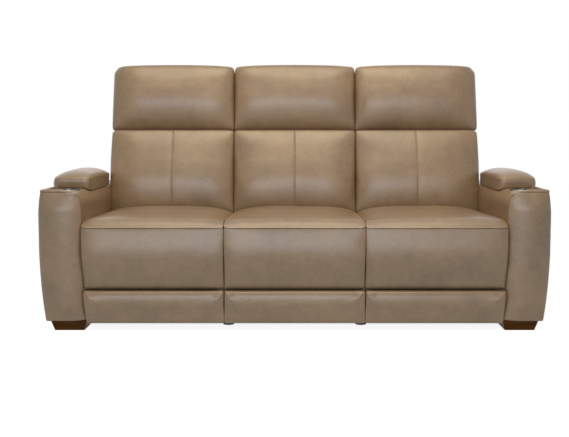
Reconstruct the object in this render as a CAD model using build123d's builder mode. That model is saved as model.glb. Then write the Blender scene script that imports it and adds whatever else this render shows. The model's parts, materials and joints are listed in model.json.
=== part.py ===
from build123d import *
import math
import os

os.makedirs("parts", exist_ok=True)

# Three-seat power reclining sofa. Millimetres, +Z up, front toward -Y, X along the sofa.
# The origin is on the floor under the middle of the sofa.
# End seats recline and have a two-pad leg rest, the middle seat is fixed.
# Right-hand pieces are drawn in place and mirrored for the left-hand seat and arm.

# Overall layout
SEAT_W = 594.0
ARM_W = 179.0
SIDE_GAP = 3.0
FRONT_Y = -480.0
BAY_X = SEAT_W
CUSHION_HALF = SEAT_W / 2 - SIDE_GAP
ARM_INNER_X = 1.5 * SEAT_W
ARM_OUTER_X = ARM_INNER_X + ARM_W
FIT_GAP = 0.5
MIDDLE_GAP = 2.0
RUN_CLEAR = 0.08
OPEN_CLEAR = 0.6

# Seat cushion
SEAT_BOTTOM_Z = 377.0
SEAT_REAR_Y = 114.0
SEAT_WALL_Y = -388.0
NOSE_UNDER_Z = 437.0
NOSE_ROUND = 30.0
SEAT_EDGE_Z = 466.0
SEAT_CROWN_Z = 482.0
SEAT_REAR_TOP_Z = 446.0
SEAT_DRAW_IN = 22.0

# Front pads of the leg rest and of the fixed middle front
PAD_BACK_Y = -412.0
PAD_DEPTH = PAD_BACK_Y - FRONT_Y
UPPER_PAD_TOP_Z = 432.0
UPPER_PAD_LOW_Z = 176.0
LOWER_PAD_TOP_Z = 170.0
LOWER_PAD_LOW_Z = 36.0
LOWER_PAD_TAPER = 13.0
PAD_BOW = 3.0

# Back and headrest, measured on a plane that leans with the back
BACK_LEAN = 14.0
BACK_FACE_Y = 118.0
BACK_FACE_Z = 480.0
BACK_LOW_U = -34.0
BACK_TOP_U = 368.0
BACK_DEPTH = 145.0
HEAD_LOW_U = 374.0
HEAD_TOP_U = 702.0
HEAD_DEPTH = 120.0
HEAD_PIVOT_N = 42.0
HEAD_PIVOT_UP = 40.0
HEAD_BOARD_T = 11.0
SHELL_FRONT_N = BACK_DEPTH
SHELL_T = 46.0
SHELL_LOW_U = -70.0
SHELL_TOP_U = 640.0
SHELL_INSET = 10.0
SHELL_HALF = CUSHION_HALF - SHELL_INSET
COVER_RIM = 6.0
COVER_T = 19.5
RAIL_H = 52.0
UPRIGHT_W = 52.0
HEAD_ARM_X = 150.0
HEAD_ARM_T = 5.0
HEAD_BOARD_INSET = 54.0
HEAD_BOARD_TOP_GAP = 40.0
HEAD_BOARD_LOW_GAP = 30.0
HEAD_WINDOW_W = 120.0
HEAD_WINDOW_H = 110.0

# Recliner mechanism: flat plates in neighbouring layers
PLATE_T = 5.0
LAYER_PITCH = 6.0
MECH_INSET = 47.0
MECH_HALF = SEAT_W / 2 - MECH_INSET
LINK_R = 13.0
PIN_R = 6.0
TUBE_R = 10.0
PIVOT_P1 = (-275.0, 312.0)
PIVOT_Q1 = (-345.0, 312.0)
SWING = (111.0, -202.0)
PIVOT_P2 = (-380.0, 264.0)
BRACKET_STEP = 90.0
LEGREST_BOARD_T = 12.0
LEGREST_WINDOW_W = 170.0
LEGREST_WINDOW_H = 150.0
LEGREST_BOARD_HALF = MECH_HALF + 18.0
CRANK = 60.0
CRANK_PIN_R = 5.0
CRANK_T = 6.0
YOKE_SIDE_PLAY = 2.4
LEG_ROD_X = -70.0
LEG_ROD_Z = 259.0
BACK_ROD_X = 70.0
BACK_PIVOT = (170.0, 385.0)
BACK_EAR_R = 16.0
BACK_PIN_R = 7.0
BACK_CRANK = 110.0
BACK_RECLINE = 35.0
ROD_R = 8.0
CRANK_OFFSET = ROD_R + 1.0
ACTUATOR_TUBE_R = 16.0
HOUSING_HALF = 30.0
MOTOR_R = 22.0
MOTOR_L = 95.0

# Seat frame
SEAT_FRAME_INSET = 28.0
SEAT_FRAME_HALF = MECH_HALF - SEAT_FRAME_INSET
SEAT_FRAME_FRONT_Y = -350.0
SEAT_FRAME_LOW_Z = 331.0
SEAT_FRAME_TOP_Z = SEAT_BOTTOM_Z - 5.0
SEAT_RAIL = 34.0
STRAP_T = SEAT_BOTTOM_Z - SEAT_FRAME_TOP_Z
STRAP_W = 42.0

# Arms
ARM_LOW_Z = 40.0
ARM_TOP_Z = 586.0
ARM_REAR_Y = 398.0
ARM_FRAME_TOP_Z = 570.0
ARM_FRAME_FRONT_Y = -455.0
ARM_FRAME_REAR_Y = 384.0
ARM_FRAME_LOW_Z = ARM_LOW_Z
ARM_WALL = 15.0
ARM_FRAME_IN_X = ARM_INNER_X + 14.0
ARM_FRAME_OUT_X = ARM_OUTER_X - 24.0
ARM_FRAME_FOOT_X = ARM_OUTER_X - 50.0
ARM_FLARE = 13.0
ARM_TAPER = 29.0
ARM_FRONT_BEVEL = 18.0
BIN_FRONT_Y = -203.0
BIN_REAR_Y = 186.0
BIN_FLOOR_Z = 440.0
BIN_IN_X = ARM_INNER_X + 37.0
BIN_OUT_X = ARM_OUTER_X - 48.0
CUP_X = (ARM_INNER_X + ARM_OUTER_X) / 2 + 0.5
CUP_Y = -315.0
CUP_R = 45.0
CUP_WALL = 2.0
CUP_DEPTH = 74.0
CUP_RIM_R = 52.0
LID_FRONT_Y = -225.0
LID_REAR_Y = 198.0
LID_IN_X = ARM_INNER_X + 12.0
LID_OUT_X = ARM_OUTER_X - 9.0
LID_LOW_Z = 588.5
LID_RISE = 77.0
LID_PIVOT = (206.0, 594.0)
LID_PIN_R = 3.0
LUG_T = 6.0
LUG_IN_X = ARM_INNER_X + 49.0
LUG_OUT_X = ARM_OUTER_X - 58.0

# Arm switches
SWITCH_Y = -260.0
SWITCH_Z = 400.0
SWITCH_L = 90.0
SWITCH_H = 56.0
SWITCH_T = 5.0
SWITCH_FACE_X = ARM_OUTER_X - 1.0
ROCKER_STEP = 20.0
ROCKER_L = 22.4
ROCKER_H = 34.4
ROCKER_PLAY = 0.8
ROCKER_T = 12.0
ROCKER_AXLE_R = 1.5

# Feet and supply
FOOT_H = 40.0
FOOT_TOP = 148.0
FOOT_LOW = 124.0
FOOT_X = ARM_INNER_X + 61.0
FOOT_FRONT_Y = -396.0
FOOT_REAR_Y = 310.0
LEG_R = 26.0
LEG_X = SEAT_W / 2 - 9.0
LEG_FRONT_Y = -335.0
LEG_REAR_Y = 300.0
LEG_H = 42.0
SUPPLY_Y = 30.0
SUPPLY_L = 160.0
SUPPLY_W = 100.0
SUPPLY_H = 44.0
REAR_PANEL_Y = 336.0
REAR_PANEL_T = 10.0
REAR_PANEL_LOW_Z = 62.0
REAR_PANEL_TOP_Z = 292.0
REAR_PANEL_GAP = 3.0

LEAN_SIN = math.sin(math.radians(BACK_LEAN))
LEAN_COS = math.cos(math.radians(BACK_LEAN))

# Pivots that follow from the driving values
PIVOT_E = (PIVOT_P1[0] + SWING[0], PIVOT_P1[1] + SWING[1])
PIVOT_X = (PIVOT_Q1[0] + SWING[0], PIVOT_Q1[1] + SWING[1])
PIVOT_F = (PIVOT_X[0], PIVOT_X[1] + BRACKET_STEP)
PIVOT_Q2 = (PIVOT_P2[0], PIVOT_P2[1] + BRACKET_STEP)
CRANK_PIN = (PIVOT_P1[0] + CRANK * math.cos(math.radians(315)), PIVOT_P1[1] + CRANK * math.sin(math.radians(315)))
BACK_DRIVE_ANGLE = math.radians(270 + BACK_RECLINE / 2)
BACK_PIN = (
    BACK_PIVOT[0] + BACK_CRANK * math.cos(BACK_DRIVE_ANGLE),
    BACK_PIVOT[1] + BACK_CRANK * math.sin(BACK_DRIVE_ANGLE),
)
BACK_ROD_Z = BACK_PIVOT[1] - BACK_CRANK + 3.0


def save(piece, label):
    piece.part.label = label
    export_step(piece.part, "parts/" + label + ".step")


def mirrored(piece):
    with BuildPart() as other:
        mirror(piece.part, about=Plane.YZ)
    return other


def both_sides(piece):
    with BuildPart() as pair:
        add(piece.part)
        mirror(piece.part, about=Plane.YZ)
    return pair


def back_point(n, u):
    # Side-view point at depth n behind the back's front plane and u up along it
    return (
        BACK_FACE_Y + u * LEAN_SIN + n * LEAN_COS,
        BACK_FACE_Z + u * LEAN_COS - n * LEAN_SIN,
    )


def back_plane(x, n):
    y, z = back_point(n, 0)
    return Plane(origin=(x, y, z), x_dir=(1, 0, 0), z_dir=(0, -LEAN_COS, LEAN_SIN))


def bowed_outline(left, right, low, high, inset, bow, taper):
    # Four-sided outline with gently bowed edges, the lower right corner drawn in by the taper
    edge = inset + bow
    a = (left + edge, low + edge)
    b = (right - taper - edge, low + edge)
    c = (right - edge, high - edge)
    d = (left + edge, high - edge)
    ThreePointArc(a, ((a[0] + b[0]) / 2, a[1] - bow), b)
    ThreePointArc(b, ((b[0] + c[0]) / 2 + bow, (b[1] + c[1]) / 2), c)
    ThreePointArc(c, ((c[0] + d[0]) / 2, c[1] + bow), d)
    ThreePointArc(d, (d[0] - bow, (a[1] + d[1]) / 2), a)


def pillow(plane, box, levels, bow, taper):
    # Padded block: smooth loft through outlines stacked along the plane normal
    left, right, low, high = box
    with BuildPart() as block:
        for rise, inset in levels:
            with BuildSketch(plane.offset(rise)):
                with BuildLine():
                    bowed_outline(left, right, low, high, inset, bow, taper)
                make_face()
        loft()
    return block


def layer_start(side, layer):
    inner = MECH_HALF + layer * LAYER_PITCH
    return BAY_X + inner if side > 0 else BAY_X - inner - PLATE_T


def round_bar(start, length, point, radius):
    with BuildSketch(Plane.YZ.offset(start)) as face:
        with Locations(point):
            Circle(radius)
    extrude(face.sketch, amount=length)


def layer_pin(side, first, last, point, radius):
    # Round pin along X through the layers from first to last
    low = MECH_HALF + first * LAYER_PITCH
    high = MECH_HALF + last * LAYER_PITCH + PLATE_T
    start = BAY_X + low if side > 0 else BAY_X - high
    round_bar(start, high - low, point, radius)


def link_plate(start, thick, bosses, radius, holes):
    # Flat plate round its bosses, with (point, radius) holes
    with BuildSketch(Plane.YZ.offset(start)) as face:
        with Locations(*bosses):
            Circle(radius)
        make_hull()
        for point, hole in holes:
            with Locations(point):
                Circle(hole, mode=Mode.SUBTRACT)
    extrude(face.sketch, amount=thick)


def block(x0, x1, y0, y1, z0, z1, mode=Mode.ADD):
    with Locations(((x0 + x1) / 2, (y0 + y1) / 2, (z0 + z1) / 2)):
        Box(x1 - x0, y1 - y0, z1 - z0, mode=mode)


# Seat cushions: nose over the front pad, crowned top, drawn-in ends
def seat_section(x, drop):
    nose = FRONT_Y + drop * 0.5
    with BuildSketch(Plane.YZ.offset(x)) as section:
        with BuildLine():
            Polyline(
                (SEAT_REAR_Y - drop, SEAT_REAR_TOP_Z - drop),
                (SEAT_REAR_Y - drop, SEAT_BOTTOM_Z),
                (SEAT_WALL_Y, SEAT_BOTTOM_Z),
                (SEAT_WALL_Y, NOSE_UNDER_Z),
                (nose + 6, NOSE_UNDER_Z),
            )
            ThreePointArc(
                (nose + 6, NOSE_UNDER_Z),
                (nose + 3, NOSE_UNDER_Z + 14 - drop * 0.3),
                (nose + NOSE_ROUND, SEAT_EDGE_Z - drop),
            )
            ThreePointArc(
                (nose + NOSE_ROUND, SEAT_EDGE_Z - drop),
                ((FRONT_Y + SEAT_REAR_Y) / 2, SEAT_CROWN_Z - drop),
                (SEAT_REAR_Y - 36, SEAT_EDGE_Z + 2 - drop),
            )
            ThreePointArc(
                (SEAT_REAR_Y - 36, SEAT_EDGE_Z + 2 - drop),
                (SEAT_REAR_Y - 11 - drop * 0.6, SEAT_EDGE_Z - 5 - drop),
                (SEAT_REAR_Y - drop, SEAT_REAR_TOP_Z - drop),
            )
        make_face()
    return section.sketch


def seat_cushion(x):
    with BuildPart() as cushion:
        ends = (seat_section(x - CUSHION_HALF, SEAT_DRAW_IN), seat_section(x + CUSHION_HALF, SEAT_DRAW_IN))
        loft((ends[0], seat_section(x, 0), ends[1]))
    return cushion


# Front pads: bulged face, corners eased toward the front
PAD_LEVELS = ((0, 9), (0.30 * PAD_DEPTH, 0), (0.66 * PAD_DEPTH, 6), (0.88 * PAD_DEPTH, 22), (PAD_DEPTH, 52))


def front_pad(x, low, high, taper):
    plane = Plane(origin=(x, PAD_BACK_Y, 0), x_dir=(1, 0, 0), z_dir=(0, -1, 0))
    return pillow(plane, (-CUSHION_HALF, CUSHION_HALF, low, high), PAD_LEVELS, PAD_BOW, taper)


# Back and headrest cushions on the leaning plane
BACK_LEVELS = ((-BACK_DEPTH, 14), (-80, 0), (-42, 3), (-16, 15), (0, 42))
HEAD_LEVELS = ((-78, 0), (-HEAD_PIVOT_N, 0), (-26, 6), (-12, 20), (0, 46))
BACK_SEAM_DEPTH = 5.0
HEAD_SLOT_W = 20.0


def back_cushion(x):
    body = pillow(
        back_plane(x, 0), (-CUSHION_HALF, CUSHION_HALF, BACK_LOW_U, BACK_TOP_U), BACK_LEVELS, 2.0, 0.0
    )
    with BuildPart() as cushion:
        add(body.part)
        # Sewn seam up the middle of the front
        with BuildSketch(back_plane(x, 0).offset(1)):
            with Locations((0, (BACK_LOW_U + BACK_TOP_U) / 2)):
                Rectangle(4, BACK_TOP_U - BACK_LOW_U)
        extrude(amount=-BACK_SEAM_DEPTH, mode=Mode.SUBTRACT)
    return cushion


def headrest_cushion(x, depth, slots):
    levels = ((-depth, 10),) + HEAD_LEVELS
    body = pillow(
        back_plane(x, 0), (-CUSHION_HALF, CUSHION_HALF, HEAD_LOW_U, HEAD_TOP_U), levels, 1.0, 0.0
    )
    with BuildPart() as cushion:
        add(body.part)
        if slots:
            # Open slots from below and behind for the hinge arms
            with BuildSketch(back_plane(x, 0).offset(-HEAD_PIVOT_N + 16)):
                for side in (-1, 1):
                    with Locations((side * (HEAD_ARM_X + 6), HEAD_LOW_U + 52)):
                        Rectangle(HEAD_SLOT_W, 116)
            extrude(amount=-HEAD_DEPTH, mode=Mode.SUBTRACT)
    return cushion


# Outside back: leather tray over the rear, sides and top of the back shell
def back_cover(x, low_u):
    rear_n = SHELL_FRONT_N + SHELL_T
    half = SHELL_HALF + FIT_GAP
    top = SHELL_TOP_U + FIT_GAP
    with BuildPart() as cover:
        with BuildSketch(back_plane(x, rear_n)):
            with BuildLine():
                bowed_outline(-half - COVER_RIM, half + COVER_RIM, low_u, top + COVER_RIM, 0, 1.0, 0)
            make_face()
        with BuildSketch(back_plane(x, rear_n + COVER_T)):
            with BuildLine():
                bowed_outline(-half - COVER_RIM, half + COVER_RIM, low_u, top + COVER_RIM, 16, 3.0, 0)
            make_face()
        loft()
        with BuildSketch(back_plane(x, rear_n)):
            with Locations((0, (low_u + top + COVER_RIM) / 2)):
                Rectangle(2 * (half + COVER_RIM), top + COVER_RIM - low_u)
            with Locations((0, (low_u + top) / 2)):
                Rectangle(2 * half, top - low_u, mode=Mode.SUBTRACT)
        extrude(amount=SHELL_T)
    return cover


# Steel legs, rails and pivot plates that carry a reclining seat
BASE_REAR_Y = 215.0
BASE_LOW_Z = 60.0
BASE_STEP_Y = -136.0
BASE_ARM_LOW_Z = 290.0
BASE_ARM_TOP_Z = 331.0
BASE_ANGLE_Z = 274.0
CROSS_BAR = 24.0
CROSS_BAR_Z = 205.0
MID_BAR_Y = 62.0
REAR_BAR_Z = 84.0


def recliner_base():
    with BuildPart() as base:
        for side in (-1, 1):
            with BuildSketch(Plane.YZ.offset(layer_start(side, 0))):
                with BuildLine():
                    Polyline(
                        (PIVOT_Q1[0] - 18, BASE_ARM_LOW_Z),
                        (BASE_STEP_Y, BASE_ARM_LOW_Z),
                        (BASE_STEP_Y, BASE_LOW_Z),
                        (BASE_REAR_Y, BASE_LOW_Z),
                        (BASE_REAR_Y, BASE_ARM_LOW_Z),
                        (BACK_PIVOT[0] + BACK_EAR_R, BACK_PIVOT[1]),
                        (BACK_PIVOT[0] - BACK_EAR_R, BACK_PIVOT[1]),
                        (BACK_PIVOT[0] - 50, BASE_ARM_TOP_Z),
                        (PIVOT_Q1[0] - 18, BASE_ARM_TOP_Z),
                        close=True,
                    )
                make_face()
                with Locations(BACK_PIVOT):
                    Circle(BACK_EAR_R)
                with Locations(PIVOT_P1):
                    Circle(TUBE_R + RUN_CLEAR, mode=Mode.SUBTRACT)
                # Lightening windows
                with Locations((BASE_STEP_Y + 92, 190), (BASE_REAR_Y - 92, 190)):
                    RectangleRounded(120, 150, 24, mode=Mode.SUBTRACT)
            extrude(amount=PLATE_T)
            layer_pin(side, -1, 0, PIVOT_Q1, PIN_R)
            layer_pin(side, -1, 0, BACK_PIVOT, BACK_PIN_R)
            # Mounting angles to the arm frame or the middle frame
            out = BAY_X + side * (MECH_HALF + PLATE_T)
            far = ARM_INNER_X if side > 0 else SEAT_W / 2 - MIDDLE_GAP
            for y in (BASE_STEP_Y + 40, BASE_REAR_Y - 40):
                block(min(out, far), max(out, far), y - 30, y + 30, BASE_ANGLE_Z, BASE_ANGLE_Z + 4)
            # Tabs under the seat frame
            tab_in = BAY_X + side * (SEAT_FRAME_HALF - 24)
            tab_out = BAY_X + side * MECH_HALF
            for y in (BASE_STEP_Y + 20, 70):
                block(
                    min(tab_in, tab_out), max(tab_in, tab_out), y - 25, y + 25,
                    SEAT_FRAME_LOW_Z - 4, SEAT_FRAME_LOW_Z,
                )
        # Cross bars between the side plates
        for y, z in ((BASE_STEP_Y + 16, CROSS_BAR_Z), (MID_BAR_Y, CROSS_BAR_Z), (BASE_REAR_Y - 16, REAR_BAR_Z)):
            block(
                BAY_X - MECH_HALF, BAY_X + MECH_HALF,
                y - CROSS_BAR / 2, y + CROSS_BAR / 2, z - CROSS_BAR / 2, z + CROSS_BAR / 2,
            )
    return base


# Wooden seat frame with webbing straps
def seat_frame():
    with BuildPart() as frame:
        block(
            BAY_X - SEAT_FRAME_HALF, BAY_X + SEAT_FRAME_HALF, SEAT_FRAME_FRONT_Y, SEAT_REAR_Y - 14,
            SEAT_FRAME_LOW_Z, SEAT_FRAME_TOP_Z,
        )
        block(
            BAY_X - SEAT_FRAME_HALF + SEAT_RAIL, BAY_X + SEAT_FRAME_HALF - SEAT_RAIL,
            SEAT_FRAME_FRONT_Y + SEAT_RAIL, SEAT_REAR_Y - 14 - SEAT_RAIL,
            SEAT_FRAME_LOW_Z - 1, SEAT_FRAME_TOP_Z + 1, Mode.SUBTRACT,
        )
        for i in range(5):
            y = SEAT_FRAME_FRONT_Y + SEAT_RAIL + 40 + i * 74
            block(
                BAY_X - SEAT_FRAME_HALF, BAY_X + SEAT_FRAME_HALF, y - STRAP_W / 2, y + STRAP_W / 2,
                SEAT_FRAME_TOP_Z - 0.5, SEAT_FRAME_TOP_Z + STRAP_T,
            )
    return frame


# Rear swing links on a cross tube, with the crank the leg actuator turns
def rear_links():
    reach = MECH_HALF + LAYER_PITCH + PLATE_T
    with BuildPart() as links:
        for side in (-1, 1):
            link_plate(layer_start(side, 1), PLATE_T, (PIVOT_P1, PIVOT_E), LINK_R, ())
            layer_pin(side, 0, 1, PIVOT_E, PIN_R)
        round_bar(BAY_X - reach, 2 * reach, PIVOT_P1, TUBE_R)
        link_plate(BAY_X + LEG_ROD_X + CRANK_OFFSET, CRANK_T, (PIVOT_P1, CRANK_PIN), LINK_R, ())
        round_bar(BAY_X + LEG_ROD_X - CRANK_T / 2 - 1, CRANK_T + CRANK_OFFSET + 1, CRANK_PIN, CRANK_PIN_R)
    return links


# Carrier links: joined to the rear links, the front links and the leg-rest bracket
def carrier_links():
    holes = (
        (PIVOT_E, PIN_R + RUN_CLEAR),
        (PIVOT_X, PIN_R + OPEN_CLEAR),
        (PIVOT_P2, PIN_R + RUN_CLEAR),
    )
    with BuildPart() as links:
        for side in (-1, 1):
            link_plate(layer_start(side, 0), PLATE_T, (PIVOT_E, PIVOT_X, PIVOT_P2), LINK_R, holes)
    return links


# Front swing links: bell cranks on the base
def front_links():
    holes = ((PIVOT_Q1, PIN_R + RUN_CLEAR), (PIVOT_F, PIN_R + RUN_CLEAR))
    with BuildPart() as links:
        for side in (-1, 1):
            link_plate(layer_start(side, -1), PLATE_T, (PIVOT_Q1, PIVOT_X, PIVOT_F), LINK_R, holes)
            layer_pin(side, -1, 0, PIVOT_X, PIN_R)
    return links


# Upper links: keep the leg-rest bracket turning with the front links
def upper_links():
    with BuildPart() as links:
        for side in (-1, 1):
            link_plate(layer_start(side, -2), PLATE_T, (PIVOT_F, PIVOT_Q2), LINK_R, ())
            layer_pin(side, -2, -1, PIVOT_F, PIN_R)
            layer_pin(side, -2, -1, PIVOT_Q2, PIN_R)
    return links


# Leg-rest frame: windowed board behind both pads with a bracket each side
def legrest_frame():
    low = LOWER_PAD_LOW_Z + 24
    high = UPPER_PAD_TOP_Z - 8
    back = PAD_BACK_Y + LEGREST_BOARD_T
    with BuildPart() as frame:
        with BuildSketch(Plane(origin=(BAY_X, back, 0), x_dir=(1, 0, 0), z_dir=(0, -1, 0))):
            with Locations((0, (low + high) / 2)):
                RectangleRounded(2 * LEGREST_BOARD_HALF, high - low, 20)
            step = LEGREST_WINDOW_W / 2 + 33
            upper = (UPPER_PAD_LOW_Z + UPPER_PAD_TOP_Z) / 2 - 1
            lower = (LOWER_PAD_LOW_Z + LOWER_PAD_TOP_Z) / 2 + 1
            with Locations((-step, upper), (step, upper)):
                RectangleRounded(LEGREST_WINDOW_W, LEGREST_WINDOW_H, 18, mode=Mode.SUBTRACT)
            with Locations((-step, lower), (step, lower)):
                RectangleRounded(LEGREST_WINDOW_W, LEGREST_WINDOW_H / 3, 12, mode=Mode.SUBTRACT)
        extrude(amount=LEGREST_BOARD_T)
        for side in (-1, 1):
            with BuildSketch(Plane.YZ.offset(layer_start(side, -1))):
                with BuildLine():
                    Polyline(
                        (back - 1, PIVOT_P2[1] - 40),
                        (PIVOT_P2[0] + LINK_R, PIVOT_P2[1]),
                        (PIVOT_Q2[0] + LINK_R, PIVOT_Q2[1]),
                        (back - 1, PIVOT_Q2[1] + 34),
                        close=True,
                    )
                make_face()
                with Locations(PIVOT_P2, PIVOT_Q2):
                    Circle(LINK_R)
                with Locations(PIVOT_Q2):
                    Circle(PIN_R + OPEN_CLEAR, mode=Mode.SUBTRACT)
            extrude(amount=PLATE_T)
            layer_pin(side, -1, 0, PIVOT_P2, PIN_R)
    return frame


# Actuators: fixed housing with tube, sliding rod with a slotted yoke
def actuator(x, z, tube_from, tube_to, housing_to):
    with BuildPart() as motor:
        with BuildSketch(Plane.XZ.offset(-min(tube_from, tube_to))):
            with Locations((x, z)):
                Circle(ACTUATOR_TUBE_R)
                Circle(ROD_R + RUN_CLEAR, mode=Mode.SUBTRACT)
        extrude(amount=-abs(tube_to - tube_from))
        block(
            x - HOUSING_HALF, x + HOUSING_HALF, min(tube_from, housing_to), max(tube_from, housing_to),
            z - HOUSING_HALF + 2, z + HOUSING_HALF - 4,
        )
        # Motor can beside the gear housing
        mid = (tube_from + housing_to) / 2
        with BuildSketch(Plane.YZ.offset(x)):
            with Locations((mid, z - 2)):
                Circle(MOTOR_R)
        extrude(amount=-MOTOR_L if x < BAY_X else MOTOR_L)
        # Saddle that rests on the cross bar
        rest = CROSS_BAR_Z + CROSS_BAR / 2
        bar_y = BASE_STEP_Y + 16 if x < BAY_X else MID_BAR_Y
        block(x - 12, x + 12, bar_y - CROSS_BAR / 2, bar_y + CROSS_BAR / 2, rest, z - ROD_R - 3)
    return motor


def yoke_rod(x, z, pin, span, rod_to, slot_low, slot_high):
    # Plate with an upright slot for the crank pin, and a round rod behind it
    with BuildPart() as rod:
        with BuildSketch(Plane.YZ.offset(x - CRANK_T / 2)):
            with Locations((pin[0], (slot_low + slot_high) / 2)):
                Rectangle(2 * span, slot_high - slot_low + 2 * span)
                SlotOverall(
                    slot_high - slot_low + 2 * CRANK_PIN_R + 2 * YOKE_SIDE_PLAY,
                    2 * CRANK_PIN_R + 2 * YOKE_SIDE_PLAY, rotation=90, mode=Mode.SUBTRACT,
                )
        extrude(amount=CRANK_T)
        near = pin[0] + span - 1 if rod_to > pin[0] else pin[0] - span + 1
        with BuildSketch(Plane.XZ.offset(-min(near, rod_to))):
            with Locations((x, z)):
                Circle(ROD_R)
        extrude(amount=-abs(rod_to - near))
    return rod


# Back shell: windowed frame, hinge ears, actuator arm and headrest hinge arms
HEAD_PIVOT_U = HEAD_LOW_U + HEAD_PIVOT_UP
HEAD_PIVOT = back_point(HEAD_PIVOT_N, HEAD_PIVOT_U)


def shell_board(x):
    with BuildSketch(back_plane(x, SHELL_FRONT_N)) as face:
        with Locations((0, (SHELL_LOW_U + SHELL_TOP_U) / 2)):
            Rectangle(2 * SHELL_HALF, SHELL_TOP_U - SHELL_LOW_U)
        low = SHELL_LOW_U + RAIL_H
        mid_low = HEAD_PIVOT_U - RAIL_H / 2
        mid_high = HEAD_PIVOT_U + RAIL_H / 2
        high = SHELL_TOP_U - RAIL_H
        with Locations((0, (low + mid_low) / 2)):
            Rectangle(2 * (SHELL_HALF - UPRIGHT_W), mid_low - low, mode=Mode.SUBTRACT)
        with Locations((0, (mid_high + high) / 2)):
            Rectangle(2 * (SHELL_HALF - UPRIGHT_W), high - mid_high, mode=Mode.SUBTRACT)
    extrude(face.sketch, amount=-SHELL_T)
    # Thin slats across the lower window carry the cushion
    for i in range(4):
        u = SHELL_LOW_U + RAIL_H + 70 + i * 80
        with BuildSketch(back_plane(x, SHELL_FRONT_N)) as slat:
            with Locations((0, u)):
                Rectangle(2 * (SHELL_HALF - UPRIGHT_W) + 4, 40)
        extrude(slat.sketch, amount=-6)


def back_frame():
    with BuildPart() as frame:
        shell_board(BAY_X)
        rail = back_point(SHELL_FRONT_N + SHELL_T / 2, SHELL_LOW_U + RAIL_H / 2)
        for side in (-1, 1):
            link_plate(
                layer_start(side, -1), PLATE_T, (BACK_PIVOT, rail), BACK_EAR_R - 2,
                ((BACK_PIVOT, BACK_PIN_R + RUN_CLEAR),),
            )
        link_plate(BAY_X + BACK_ROD_X + CRANK_OFFSET, CRANK_T, (BACK_PIN, rail), LINK_R, ())
        round_bar(BAY_X + BACK_ROD_X - CRANK_T / 2 - 1, CRANK_T + CRANK_OFFSET + 1, BACK_PIN, CRANK_PIN_R)
        anchor = back_point(SHELL_FRONT_N + 10, HEAD_PIVOT_U)
        for side in (-1, 1):
            x = BAY_X + side * HEAD_ARM_X - HEAD_ARM_T / 2
            link_plate(x, HEAD_ARM_T, (HEAD_PIVOT, anchor), 12, ((HEAD_PIVOT, PIN_R + RUN_CLEAR),))
    return frame


# Headrest frame: board behind the cushion, brackets to the tilt pivot
def headrest_frame():
    front = HEAD_DEPTH
    low = HEAD_PIVOT_U + HEAD_BOARD_LOW_GAP
    high = HEAD_TOP_U - HEAD_BOARD_TOP_GAP
    with BuildPart() as frame:
        with BuildSketch(back_plane(BAY_X, front)):
            with Locations((0, (low + high) / 2)):
                RectangleRounded(2 * (CUSHION_HALF - HEAD_BOARD_INSET), high - low, 24)
            step = HEAD_WINDOW_W / 2 + 20
            with Locations((-step, (low + high) / 2 + 16), (step, (low + high) / 2 + 16)):
                RectangleRounded(HEAD_WINDOW_W, HEAD_WINDOW_H, 20, mode=Mode.SUBTRACT)
        extrude(amount=-HEAD_BOARD_T)
        anchor = back_point(front + HEAD_BOARD_T / 2, low + 26)
        for side in (-1, 1):
            inner = HEAD_ARM_X + HEAD_ARM_T / 2 + 1
            x = BAY_X + inner if side > 0 else BAY_X - inner - HEAD_ARM_T
            link_plate(x, HEAD_ARM_T, (HEAD_PIVOT, anchor), 10, ())
            pin_from = HEAD_ARM_X - HEAD_ARM_T / 2
            start = BAY_X + pin_from if side > 0 else BAY_X - inner - HEAD_ARM_T
            round_bar(start, inner + HEAD_ARM_T - pin_from, HEAD_PIVOT, PIN_R)
    return frame


# Fixed frame of the middle seat: side panels, front board, deck rails, back shell
MIDDLE_BOARD_T = 16.0
MIDDLE_FRONT_Y = PAD_BACK_Y + MIDDLE_BOARD_T
MIDDLE_REAR_Y = 232.0
DECK_RAIL_W = 34.0
FLOOR_SLAT_W = 80.0
FLOOR_SLAT_T = 18.0
POST_INSET = 15.0
POST_FOOT_Y = 150.0


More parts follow.
